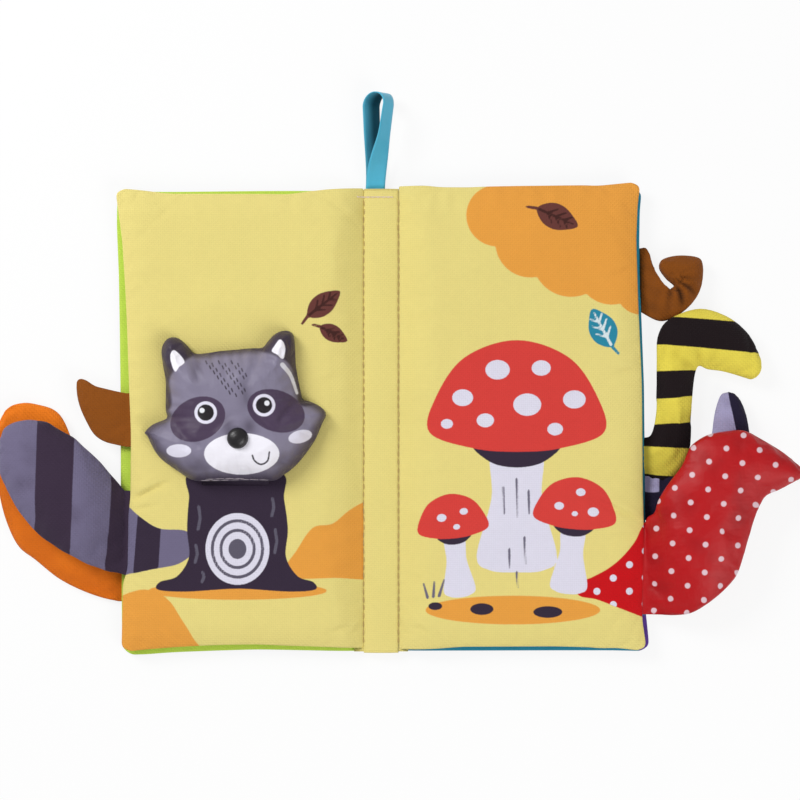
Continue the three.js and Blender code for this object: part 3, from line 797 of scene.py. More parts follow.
def leaf_form(leaf, wide, high):
    """Points of a leaf's lower and upper cloth on the same grid, from its root to its outer edge."""
    u, v = np.linspace(0, 1, wide), np.linspace(0, 1, high)
    across, up = np.meshgrid(u - CLOSER_ACROSS * np.sin(2 * math.pi * u),
                             v - CLOSER_UP * np.sin(2 * math.pi * v))
    across, up = across.ravel(), up.ravel()
    nominal = (up - 0.5) * PAGE_HEIGHT
    width = leaf_edge(leaf, nominal) - ROOT_EDGE
    from_root = across * width
    reach = ROOT_EDGE + from_root
    top, bottom = eased(leaf["top"], reach), eased(leaf["bottom"], reach)
    y = bottom + (top - bottom) * up
    swell = puff(from_root) * puff((1 - across) * width) * puff(np.minimum(up, 1 - up) * PAGE_HEIGHT)
    half = SEAM_HALF + (LEAF_THICKNESS / 2 - SEAM_HALF) * swell
    middle = leaf["root"] + (leaf["level"] - leaf["root"]) * puff(from_root)
    x = leaf["side"] * reach
    upper = np.column_stack([x, y, middle + half])
    lower = np.column_stack([x, y, middle - half])
    return upper, lower, swell


RIM_BULGE = 0.35


def closed_leaf(leaf, wide, high):
    """Points, faces and rim marks of a leaf as one closed cloth form."""
    upper, lower, swell = leaf_form(leaf, wide, high)
    count = wide * high
    rim = list(range(wide)) + [row * wide + wide - 1 for row in range(1, high)]
    rim += [(high - 1) * wide + column for column in range(wide - 2, -1, -1)]
    rim += [row * wide for row in range(high - 2, 0, -1)]
    middle = (upper[rim] + lower[rim]) / 2
    out = middle - np.array([leaf["side"] * PAGE_HEIGHT / 3.3, 0, 0])
    out[:, 2] = 0
    shift = RIM_BULGE * out / np.maximum(np.linalg.norm(out, axis=1), 1e-6)[:, None]
    points = np.vstack([upper, lower, middle + shift])
    turned = leaf["side"] < 0
    faces = grid_faces(wide, high, 0, turned) + grid_faces(wide, high, count, not turned)
    slots = [0] * ((wide - 1) * (high - 1)) + [1] * ((wide - 1) * (high - 1))
    for i, a in enumerate(rim):
        b = rim[(i + 1) % len(rim)]
        ma, mb = 2 * count + i, 2 * count + (i + 1) % len(rim)
        top, low = [a, ma, mb, b], [ma, a + count, b + count, mb]
        faces += [top[::-1] if turned else top, low[::-1] if turned else low]
        slots += [0, 1]
    held = np.zeros(len(points), bool)
    held[rim] = held[[i + count for i in rim]] = held[2 * count:] = True
    skin = np.concatenate([np.ones(count), -np.ones(count), np.zeros(len(rim))])
    full = np.concatenate([swell, swell, np.zeros(len(rim))])
    return points, faces, slots, held, skin, full


# Distance between puckers along the outer edge, the top and bottom, and the spine seam
EDGE_PUCKERS, SIDE_PUCKERS, ROOT_PUCKERS = 9.5, 11.0, 13.0
PUCKER_REACH = 6.5
# Slow and quick unevenness of the wadding: height, size of the lumps and seed
WADDING_LUMPS = ((0.38, 46, 7.7), (0.22, 19, 1.2))


def seam_relief(leaf_name, points, sizes):
    """How far puckers and creases sink the cloth near a leaf's seams."""
    leaf = LEAVES[leaf_name]
    x, y = points[:, 0], points[:, 1]
    from_edge = leaf_edge(leaf, y) - np.abs(x)
    from_side = PAGE_HEIGHT / 2 - np.abs(y)
    from_root = np.abs(x) - ROOT_EDGE
    relief = np.zeros(len(points))
    flat = np.column_stack([x, y, np.zeros(len(x))])
    wander = cloud(flat, 16, 3.1)
    for distance, along, pitch in ((from_edge, y, EDGE_PUCKERS), (from_side, x, SIDE_PUCKERS),
                                   (from_root, y, ROOT_PUCKERS)):
        near = np.exp(-np.clip(distance, 0, None) / PUCKER_REACH) * np.clip(distance / 1.5, 0, 1)
        wave = (np.sin(along * 2 * math.pi / pitch + 2.4 * wander)
                + 0.5 * np.sin(along * 4.7 / pitch + 1.3 * wander))
        relief += sizes.pucker_depth / MM * near * (wave - 0.2)
    for place, lean, length, strength in SEAM_PULLS[leaf_name]:
        distance = np.clip(from_edge, 0, None)
        line = y - place - lean * distance - 1.1 * wander * np.clip(distance / 8, 0, 1)
        width = 1.0 + 0.05 * distance
        fade = smooth((1.25 - distance / length) / 0.9) * np.clip(distance / 1.0, 0, 1)
        ridge = np.exp(-((line - 2.6 * width) / (1.8 * width)) ** 2)
        relief += strength * sizes.crease_depth / MM * fade * (0.45 * ridge - np.exp(-(line / width) ** 2))
    slow, quick = [height * cloud(flat, size, seed) for height, size, seed in WADDING_LUMPS]
    return relief + (slow + quick)


# Printed motifs, generic shapes in millimetres


def leaf_motif(points, centre, turn, length, width):
    """A plain pointed leaf: its area and its veins."""
    p = placed(points, centre, turn)
    half = length / 2
    upper = [(-half * 0.55, width * 0.42), (0.05 * half, width * 0.5), (half * 0.6, width * 0.3)]
    outline = curve_through([(-half, 0), *upper, (half, 0), *[(x, -y) for x, y in upper[::-1]]])
    stalk = line_ink(p, [(-half, 0), (-half - 0.22 * length, -0.06 * length)], 0.85, 0.8)
    area = union(area_ink(p, outline), stalk)
    veins = [line_ink(p, [(-half * 0.9, 0), (half * 0.8, 0)], 0.75, 0.6)]
    for share in (-0.5, -0.1, 0.3):
        for side in (-1, 1):
            tip = ((share + 0.38) * half, side * width * 0.3)
            veins.append(line_ink(p, [(share * half, 0), tip], 0.62, 0.7))
    return area, np.minimum(union(*veins), area - 0.3)


def toadstool_motif(points, centre, width, stem_height, turn, dots):
    """A toadstool: its cap, the dots on it, its stem and the gills under the cap."""
    p = placed(points, centre, turn)
    half = width / 2

    def grown(outline):
        return area_ink(p, curve_through([(x * half, y * width) for x, y in outline]))

    cap = grown([(-1, -0.10), (-0.93, 0.10), (-0.6, 0.33), (0, 0.43), (0.6, 0.33), (0.93, 0.10), (1, -0.10),
                 (0.5, -0.19), (0, -0.21), (-0.5, -0.19)])
    gills = grown([(-0.5, -0.17), (0, -0.19), (0.5, -0.17), (0.3, -0.27), (0, -0.30), (-0.3, -0.27)])
    stem_half, high = width * 0.17, -0.2 * width
    low = high - stem_height
    right = [(0.9, low), (1.35, low + 0.12 * stem_height), (0.85, high - stem_height * 0.4), (0.8, high)]
    stem = area_ink(p, curve_through([*[(-x * stem_half, y) for x, y in right[::-1]], (0, low - 1.0),
                                      *[(x * stem_half, y) for x, y in right]]))
    spots = union(*[oval_ink(p, (x * half, y * width), (r * width, r * width * 0.8)) for x, y, r in dots])
    return cap, np.minimum(spots, cap - 0.2), stem, gills


def drawn(points, outline):
    """Signed distance to a soft outline through a few points."""
    return area_ink(points, curve_through(outline))


STUMP_FOOT_X, STUMP_RINGS = -74, (8.6, 13.0)
# Strokes down the stump's bark and the toadstools' stems: place and length
BARK = ((-94, -44, 12), (-95.5, -64, 9), (-56, -40, 9), (-54.5, -56, 12), (-92, -78, 5))
STEM_STROKES = ((63, -34, 14), (70, -30, 20), (76, -36, 12), (66, -66, 10), (74, -60, 14), (70, -78, 8))
CLOUD_LUMPS = (((60, 106), 16), ((77, 92), 18), ((98, 84), 20), ((119, 78), 18), ((134, 68), 13),
               ((128, 100), 30), ((98, 112), 26), ((70, 118), 16))
# Toadstools: centre, width, height of the stem, turn, and the dots as (x, y, radius) shares of the cap
TOADSTOOLS = (
    ((70, 3), 90, 62, 0, [(-0.62, 0.10, 0.06), (-0.22, 0.26, 0.07), (0.28, 0.27, 0.055), (0.66, 0.09, 0.065),
                          (0.12, 0.06, 0.08), (-0.36, -0.03, 0.05), (0.44, -0.08, 0.045),
                          (-0.80, -0.05, 0.035)]),
    ((37, -53), 36, 30, 6, [(-0.3, 0.1, 0.07), (0.35, 0.16, 0.06), (0.1, -0.05, 0.05)]),
    ((100, -47), 42, 33, -5, [(-0.4, 0.06, 0.06), (0.1, 0.25, 0.06), (0.45, 0.02, 0.07), (0.0, -0.02, 0.04)]),
)
PEBBLES = (((52, -97), (6, 3)), ((86, -98.5), (7.5, 3)), ((28, -95.5), (3.6, 2)))
RED_DOTS_FROM_X = 109.0


def left_page_prints(piece, points):
    """Hills, a tree stump, two leaves and the striped root of the grey tail."""
    x, y = points[:, 0], points[:, 1]
    hill = drawn(points, [(-140, -96), (-133, -90), (-121, -87), (-110, -92), (-103, -102), (-97, -112),
                          (-92, -124), (-118, -132), (-140, -130)])
    far_hill = drawn(points, [(-50, -80), (-43, -66), (-35, -55), (-25, -53), (-16, -46), (-6, -42), (2, -50),
                              (2, -80), (-24, -81)])
    ground = oval_ink(points, (STUMP_FOOT_X, -87.6), (46, 4.6))
    root = drawn(points, [(-140, -37), (-132, -43), (-123, -50.5), (-114, -55.5), (-100, -57), (-96, -66),
                          (-104, -73.5), (-118, -76.5), (-130, -79), (-141, -80)])
    band = np.minimum(root, np.minimum(x + 126.5 - 0.08 * (y + 60), -113.8 - x + 0.06 * (y + 60)))
    trunk = drawn(points, [(-97, -26), (-99, -40), (-100, -56), (-99, -70), (-105, -80), (-114, -83),
                           (-115, -87), (-100, -88), (-74, -86.5), (-48, -88), (-34, -87), (-35, -83),
                           (-43, -80), (-49, -70), (-48, -56), (-50, -40), (-53, -26)])
    hollow = oval_ink(points, (STUMP_FOOT_X, -66), (16.5, 18.5))
    rings = [line_ink(points, [(STUMP_FOOT_X + r * math.cos(a), -66 + 1.12 * r * math.sin(a))
                               for a in np.radians(np.arange(0, 361, 12))], 0.8) for r in STUMP_RINGS]
    rings.append(oval_ink(points, (STUMP_FOOT_X, -66), (4.6, 5.2)))
    bark = [line_ink(points, [(x, y), (x + 0.8, y - h / 2), (x - 0.3, y - h)], 0.8) for x, y, h in BARK]
    first, first_veins = leaf_motif(points, (-29.5, 60.5), 38, 21, 11)
    second, second_veins = leaf_motif(points, (-24.5, 45.0), -28, 16, 8.5)
    keep_inks(piece, orange=union(hill, far_hill, ground), grey=root, plum=union(band, trunk),
              pale=np.minimum(hollow, trunk), brown=union(first, second),
              dark_line=union(first_veins, second_veins), grey_line=union(*rings, *bark))


def right_page_prints(piece, points):
    """A cloud, leaves, a group of toadstools and the dotted root of the red tail."""
    sky = union(*[oval_ink(points, centre, (radius, radius)) for centre, radius in CLOUD_LUMPS])
    ground = oval_ink(points, (68, -97.5), (45, 7.4))
    root = drawn(points, [(146, -44), (135.6, -54), (131.5, -61.5), (125.5, -69), (118, -75.5), (109, -80.5),
                          (101, -84), (102, -90), (111, -92), (119, -95), (128, -98.5), (136, -101.5),
                          (147, -104)])
    keep_inks(piece, orange=union(sky, ground), red=root)
    keep_print_places(piece, points)
    keep_value(piece, "free_red", np.minimum(root, points[:, 0] - RED_DOTS_FROM_X))
    caps, spots, stems, gills = zip(*[toadstool_motif(points, *numbers) for numbers in TOADSTOOLS])
    pebbles = [oval_ink(points, centre, radii) for centre, radii in PEBBLES]
    brown, brown_veins = leaf_motif(points, (91, 105), -24, 23, 13)
    teal, teal_veins = leaf_motif(points, (114, 48), 118, 22, 14)
    grass = [line_ink(points, [(x, -91 + 0.4 * k), (x + lean, -84 + k)], 0.8, 0.6)
             for k, (x, lean) in enumerate(((24, -2), (27, 0.5), (30, 2.5)))]
    strokes = [line_ink(points, [(x, y), (x + 0.5, y - h)], 0.7, 0.7) for x, y, h in STEM_STROKES]
    keep_inks(piece, pale=union(*stems), plum=union(*gills, *pebbles), coral=union(*caps), spot=union(*spots),
              brown=brown, dark_line=brown_veins, teal=teal, white_line=teal_veins,
              grey_line=union(*grass, *strokes))


LEAF_AIR, TAIL_AIR, HEAD_AIR = (3.0, 0.012), (3.0, 0.03), (3.5, 0.02)  # pressure and spare cloth
UNDERSIDE_SHARE = 0.15  # how much of an upper side's stuffing and relief an underside shows
FILLING_COVER = 0.15  # cloth over the wadding and film
COVER_SPARE = 0.12
# Where the head presses the left page flat: centre, half widths, level
HEAD_PRESS, HEAD_PRESS_HALF, HEAD_PRESS_LEVEL = (-75, 6), (50, 42), 10.42


def make_leaf(name, wide, high, materials):
    """One padded leaf, stuffed by simulation and then puckered along its seams."""
    sizes = bpy.context.scene.book_sizes
    leaf = LEAVES[name]
    points, faces, slots, held, skin, full = closed_leaf(leaf, wide, high)
    swelled = stuffed_by_simulation(points, faces, held, *LEAF_AIR, sizes.page_swell / MM)
    moved = swelled - points
    moved[skin < 0] *= UNDERSIDE_SHARE
    piece = make_piece(name + "_cloth", points + moved, faces, slots)
    keep_value(piece, "skin", skin)
    keep_value(piece, "full", full)
    finer(piece)
    points = points_of(piece)
    skin = kept_values(piece, "skin")
    top = skin > 0.5
    relief = seam_relief(name, points, sizes) * kept_values(piece, "full")
    lowest = leaf["level"] - LEAF_THICKNESS / 2
    spare = COVER_SPARE if name.endswith("cover") else sizes.page_swell / MM
    highest = leaf["level"] + LEAF_THICKNESS / 2 + spare
    points[top, 2] += relief[top]
    points[~top, 2] += UNDERSIDE_SHARE * relief[~top] * (skin[~top] < -0.5)
    if name == "left_page":
        apart = np.hypot(*((points[:, :2] - HEAD_PRESS) / HEAD_PRESS_HALF).T)
        points[:, 2] -= smooth((1.35 - apart) / 0.33) * np.clip(points[:, 2] - HEAD_PRESS_LEVEL, 0, None)
    filling = height_finder(frame["nodes"][name + "_wadding"], frame["nodes"][name + "_crackle_film"])
    inner = np.array([filling(x, y, -1.0) if on_top else -1.0 for (x, y, z), on_top in zip(points, top)])
    points[:, 2] = np.maximum(points[:, 2], inner + FILLING_COVER)
    points[:, 2] = np.clip(points[:, 2], max(0.0, min(lowest, leaf["root"] - SEAM_HALF)), highest)
    move_points(piece, points)
    for material in materials:
        piece.data.materials.append(material)
    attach(piece, name)
    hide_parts(name + "_upper_cloth", name + "_lower_cloth")
    return piece, points[:, :2]


class BOOK_OT_leaves(bpy.types.Operator):
    """Sew the four padded leaves with their printed cloths"""
    bl_idname = "book.sew_leaves"
    bl_label = "Sew leaves"

    def execute(self, context):
        colours = context.scene.book_colours
        lime = named_material("lime_lining", colour=colours.lime)
        teal = named_material("teal_lining", colour=colours.teal)
        purple = named_material("purple_cover", colour=colours.purple)
        left = named_material("left_page_print", fold_depth=0.0005, inks=(
            ("orange_ink", colours.orange_print), ("grey_ink", colours.tail_grey), ("plum_ink", colours.plum),
            ("pale_ink", colours.lavender), ("grey_line_ink", toned(colours.grey, 0.5)),
            ("brown_ink", colours.leaf_brown), ("dark_line_ink", toned(colours.leaf_brown, 0.4))))
        right = named_material("right_page_print", fold_depth=0.0005, inks=(
            ("orange_ink", colours.orange_print), ("red_ink", toned(colours.red, 1.25)),
            ("pale_ink", colours.lavender), ("grey_line_ink", toned(colours.grey, 0.7)),
            ("plum_ink", colours.plum), ("coral_ink", colours.coral), ("spot_ink", colours.lavender),
            ("brown_ink", colours.leaf_brown), ("dark_line_ink", toned(colours.leaf_brown, 0.4)),
            ("teal_ink", colours.leaf_teal), ("white_line_ink", (0.75, 0.85, 0.88))),
            dots={"colour": colours.lavender, "radius": 0.0018, "turn": 0.0, "move": (-0.0018, -0.0012, 0.0),
                  "pitch": 0.01685, "row": 0.00685, "within": "free_red"})
        page, flat = make_leaf("left_page", 68, 124, (left, lime))
        left_page_prints(page, flat)
        page, flat = make_leaf("right_page", 68, 124, (right, teal))
        right_page_prints(page, flat)
        make_leaf("front_cover", 30, 54, (lime, purple))
        turned = named_material("teal_lining_turned", colour=colours.teal,
                                inks=(("cover_ink", colours.purple),))
        cover, flat = make_leaf("back_cover", 40, 80, (turned, purple))
        keep_inks(cover, cover=np.minimum(flat[:, 0] - 134.0, -101.0 - flat[:, 1]))
        return {"FINISHED"}


def strip_piece(name, section, low, high, rows, side_slots=None):
    """A closed strip along Y from one closed section of (x, z) points, with each side's material slot."""
    points = [(x, y, z) for y in np.linspace(low, high, rows) for x, z in section]
    wide = len(section)
    slots = (list(side_slots or [0] * wide)) * (rows - 1) + [0, 0]
    faces = grid_faces(wide, rows, turned=True, wrap=True) + end_caps(wide, len(points))
    return make_piece(name, points, faces, slots)


SPINE_HALF = STITCH_HALF_GAP - 0.05
SPINE_LENGTH_HALF = PAGE_HEIGHT / 2 + 0.4
SPINE_SHOULDER, SPINE_CROWN = 4.35, 0.85
# Gussets inside the leaves: place, level, thickness and material; they reach from 4 to 14 off the middle
GUSSETS = (("inner", 3.45, 0.5, "spine_cloth"), ("outer", 0.35, 0.45, "purple_cover"))
GUSSET_FROM, GUSSET_TO, GUSSET_SHORT = 4.0, 14.0, 0.6
TACK_START, TACK_LENGTH, TACK_Y, TACK_SWAY = -12.4, 18.6, 116.1, 0.5


class BOOK_OT_spine(bpy.types.Operator):
    """Sew the spine with its stitch rows, bar tack and inner hems"""
    bl_idname = "book.sew_spine"
    bl_label = "Sew spine"

    def execute(self, context):
        sizes, colours = context.scene.book_sizes, context.scene.book_colours
        half, length = SPINE_HALF, SPINE_LENGTH_HALF
        crown = [(x, SPINE_SHOULDER + SPINE_CROWN * (1 - (x / half) ** 2) ** 0.8)
                 for x in np.linspace(half, -half, 15)]
        under = [(-half - 0.12, 2.2), (-half, 0.05), (0, 0.0), (half, 0.05), (half + 0.12, 2.2)]
        section, slots = crown + under, [0] * len(crown) + [1] * len(under)
        spine = strip_piece("spine_cover", section, -length, length, 120, slots)
        points = points_of(spine)
        upper = points[:, 2] > 4.0
        points[upper, 2] += (0.12 * cloud(points[upper], 14, 2.2) + 0.1 * np.sin(points[upper, 1] * 0.42)
                             * (np.abs(points[upper, 0]) / half) ** 2)
        move_points(spine, points)
        spine.data.materials.append(named_material("spine_cloth", fold_depth=0.0004))
        spine.data.materials.append(named_material("purple_cover", colour=colours.purple))
        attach(spine, "spine")
        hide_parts("spine_outer_strip", "spine_inner_strip")
        for side, far in ((-1, "left_page"), (1, "right_page")):
            for place, level, thick, material in GUSSETS:
                xs = [side * x for x in np.linspace(GUSSET_FROM, GUSSET_TO, 21)]
                hem = [(x, level + thick) for x in xs] + [(x, level) for x in xs[::-1]]
                if side > 0:
                    hem = hem[::-1]
                reach = length - GUSSET_SHORT
                gusset = strip_piece(f"{place}_gusset_{far.split('_')[0]}", hem, -reach, reach, 40)
                gusset.data.materials.append(bpy.data.materials[material])
                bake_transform(gusset)
        pages = [bpy.data.objects[name] for name in ("left_page_cloth", "right_page_cloth")]
        height = height_finder(spine, *pages)
        pitch = (sizes.stitch_length + sizes.stitch_gap) / MM
        share = sizes.stitch_length / (sizes.stitch_length + sizes.stitch_gap)
        thread = named_material("seam_thread", colour=colours.thread)
        for side, word in ((-1, "left"), (1, "right")):
            route = [(side * STITCH_HALF_GAP, y) for y in np.linspace(length - 6.0, -length + 3.0, 40)]
            row = stitch_row(f"spine_stitches_{word}", route, sizes.thread_thickness / MM / 2, pitch, share,
                             lambda x, y: max(height(x, y), SPINE_SHOULDER), 0.28, 0.55, 2.0 + side)
            row.data.materials.append(thread)
            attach(row, "spine")
        route = [(TACK_START + TACK_LENGTH * share, TACK_Y + TACK_SWAY * (-1) ** k)
                 for k, share in enumerate(np.linspace(0, 1, 44))]
        tack = stitch_row("bar_tack", route, 0.3, 1.3, 0.9, lambda x, y: max(height(x, y), 4.4), 0.35)
        tack.data.materials.append(named_material("tack_thread", colour=linear("FBE6D2")))
        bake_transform(tack)
        return {"FINISHED"}


# Lengths in millimetres; twist and spread in degrees
RIBBON = {"width": 10.0, "length": 49.7, "sewn": 3.0, "radius": 6.4, "half_gap": 0.5, "offset": -3.1,
          "lean": 2.8, "low": 2.2, "high": 11.8, "twist": 45.0, "twist_share": 0.62, "spread": 14.0,
          "base": 119.75, "thickness": 0.52}
RIBBON_COLUMNS, RIBBON_ROWS, RIBBON_BEND_ROWS = 9, 42, 25


def ribbon_place(along, apart, widthways):
    """A point of the folded ribbon, which twists until its loop is half open."""
    share = min(1.0, max(0.0, along) / (RIBBON["length"] * RIBBON["twist_share"]))
    twist = math.radians(RIBBON["twist"]) * float(smooth(share))
    turn = twist + math.radians(RIBBON["spread"]) * float(smooth(share)) * apart / RIBBON["radius"]
    centre = RIBBON["low"] + (RIBBON["high"] - RIBBON["low"]) * math.sin(twist)
    middle = RIBBON["offset"] + RIBBON["lean"] * max(0.0, along) / RIBBON["length"]
    x = middle + apart * math.sin(twist) + widthways * math.cos(turn)
    z = centre + apart * math.cos(twist) - widthways * math.sin(turn)
    return np.array([x, RIBBON["base"] + along, z])


class BOOK_OT_ribbon(bpy.types.Operator):
    """Fold the ribbon loop at the top of the spine"""
    bl_idname = "book.fold_ribbon"
    bl_label = "Fold ribbon"

    def execute(self, context):
        colours = context.scene.book_colours
        straight = RIBBON["length"] - RIBBON["radius"]
        path = []
        for t in np.linspace(-RIBBON["sewn"], straight, RIBBON_ROWS, endpoint=False):
            share = max(0.0, t / straight)
            path.append((t, RIBBON["half_gap"] + (RIBBON["radius"] - RIBBON["half_gap"]) * share ** 0.9))
        for turn in np.linspace(0, math.pi, RIBBON_BEND_ROWS):
            path.append((straight + RIBBON["radius"] * math.sin(turn), RIBBON["radius"] * math.cos(turn)))
        path += [(t, -a) for t, a in path[:RIBBON_ROWS][::-1]]
        wide, cols = RIBBON["width"], RIBBON_COLUMNS
        grid = np.array([[ribbon_place(t, a, wide * (0.5 - c / (cols - 1))) for c in range(cols)]
                         for t, a in path])
        normal = np.cross(np.gradient(grid, axis=0), np.gradient(grid, axis=1))
        normal /= np.linalg.norm(normal, axis=2)[:, :, None]
        edge = np.abs(np.linspace(-1, 1, cols))
        thick = RIBBON["thickness"] / 2 - 0.05 * (edge > 0.99) + 0.05 * ((edge > 0.7) & (edge < 0.99))
        outer, inner = grid + normal * thick[None, :, None], grid - normal * thick[None, :, None]
        ring = np.concatenate([outer, inner[:, ::-1]], axis=1)
        points = ring.reshape(-1, 3)
        faces = grid_faces(2 * cols, len(path), wrap=True) + end_caps(2 * cols, len(points))
        reverse = ([0] * cols + [1] * cols) * (len(path) - 1) + [0, 0]
        ribbon = make_piece("ribbon_loop_cloth", points, faces, reverse)
        # Painted shade inside the loop: the reverse side darkens from the outer edge inwards, kept per vertex
        # as the value named inside.
        inward = np.linspace(0, 1, cols)
        depth = np.concatenate([0 * inward, smooth((inward - 0.12) / 0.55)])
        depth[cols - 1] = depth[cols] = 0.0
        keep_value(ribbon, "inside", np.tile(depth, len(path)))
        ribbon.data.materials.append(named_material(
            "ribbon_satin", colour=colours.ribbon, pitch=0.0006, satin=True, roughness=0.42, sheen=0.1,
            fold_depth=0.0004))
        # The reverse cloth, darkened towards the loop's inside by painted shade.
        ribbon.data.materials.append(named_material(
            "ribbon_reverse", colour=linear("56B8D6"), pitch=0.0006, shade=("inside", linear("0A5468"), 1.0)))
        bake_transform(ribbon)
        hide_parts("ribbon_loop")
        return {"FINISHED"}


# The head

# The head's outline from the middle of the chin seam, to the right and all the way round
HEAD_OUTLINE = [(0.0, 0.0), (19.0, 0.2), (25.5, 3.8), (32.2, 9.5), (40.2, 20.2), (44.6, 30.0), (46.5, 34.1),
                (45.1, 37.1), (41.1, 39.8), (36.6, 41.5), (34.4, 42.1), (33.5, 46.0), (32.2, 52.2),
                (30.9, 60.4), (30.5, 69.2), (29.8, 74.9), (27.5, 77.2), (23.4, 77.1), (19.8, 75.1),
                (16.7, 71.8), (13.9, 68.7), (8.4, 68.4), (1.1, 67.7), (-8.1, 66.9), (-16.7, 65.6),
                (-21.6, 65.9), (-24.5, 69.4), (-28.7, 73.1), (-32.6, 74.1), (-35.9, 72.3), (-37.8, 67.6),
                (-37.2, 59.9), (-35.8, 51.3), (-35.8, 37.2), (-34.9, 33.6), (-35.8, 32.0), (-42.4, 29.1),
                (-46.6, 25.1), (-45.1, 22.9), (-38.9, 12.7), (-27.4, 3.8), (-19.0, 0.2)]
# Creases of the stuffed head: route, depth and half width
HEAD_CREASES = [
    ([(-68.4, 18.5), (-63.4, 5.2), (-56.3, -2.4), (-47.3, -4.6), (-38.5, -2.0)], 1.3, 2.6),
    ([(-98.5, 34.0), (-95.0, 27.0), (-92.5, 22.0)], 1.0, 1.8),
    ([(-60.0, 37.0), (-63.0, 30.0), (-67.0, 22.0)], 0.9, 2.4),
    ([(-109.6, 2.0), (-104.0, -3.0), (-98.0, -9.0), (-93.0, -12.0)], 1.1, 2.2),
    ([(-41.5, 11.0), (-46.0, 7.0), (-51.0, 1.0)], 0.9, 1.8),
    ([(-84.0, -3.0), (-79.0, 1.5), (-73.5, 3.5), (-67.5, -1.0)], 0.8, 3.0),
    ([(-88.0, -30.0), (-91.0, -24.0), (-95.0, -19.0)], 0.8, 1.6),
    ([(-58.0, -30.0), (-55.0, -24.0), (-49.0, -18.0)], 0.8, 1.6),
]

HEAD_SIDES, HEAD_RINGS = 240, 44
# The head's back panel from its rim inwards: share of the outline and level
HEAD_BACK = ((1.0, 11.45), (1.004, 11.0), (0.995, 10.72), (0.5, 10.66))
CHIN_HEM_X, CHIN_HEM_TOP, CHIN_HEM_LOW = (-92, -58), 10.95, 10.5
# Two short rows of chin stitches: place above the chin's seam, first and last place along it
CHIN_STITCHES = ((0.75, -92.5, -57.0), (1.35, -90.0, -70.0))
EYES, EYE_RADIUS, PUPIL_RADIUS = ((-90.5, 4.3), (-60.4, 8.1)), 5.8, 4.2
GLINTS, GLINT_RADIUS = ((-92.4, 5.4), (-58.9, 9.2)), 1.35
# Painted shade on the head, in soft patches: place, half widths and strength
HEAD_PAINTED_SHADE = [(-68.0, -3.0, 3.6, 4.6, 0.6), (-79.5, -2.0, 3.2, 4.0, 0.45), (-95.5, -24.0, 9.0, 4.5, 0.55),
              (-50.0, -22.0, 8.5, 5.0, 0.55), (-95.4, 27.6, 2.6, 6.0, 0.5), (-70.0, 12.0, 4.0, 8.0, 0.3)]


def head_outline(count):
    """The head's outline at even steps, with its chin along the seam."""
    curve = curve_through(HEAD_OUTLINE, 8) + np.array([HEAD_CENTRE_X, CHIN_Y])
    curve[:, 1] = np.maximum(curve[:, 1], CHIN_Y)
    loop = np.vstack([curve, curve[:1]])
    reach = np.concatenate([[0], np.cumsum(np.linalg.norm(np.diff(loop, axis=0), axis=1))])
    at = np.linspace(0, reach[-1], count, endpoint=False)
    return np.column_stack([np.interp(at, reach, loop[:, 0]), np.interp(at, reach, loop[:, 1])])


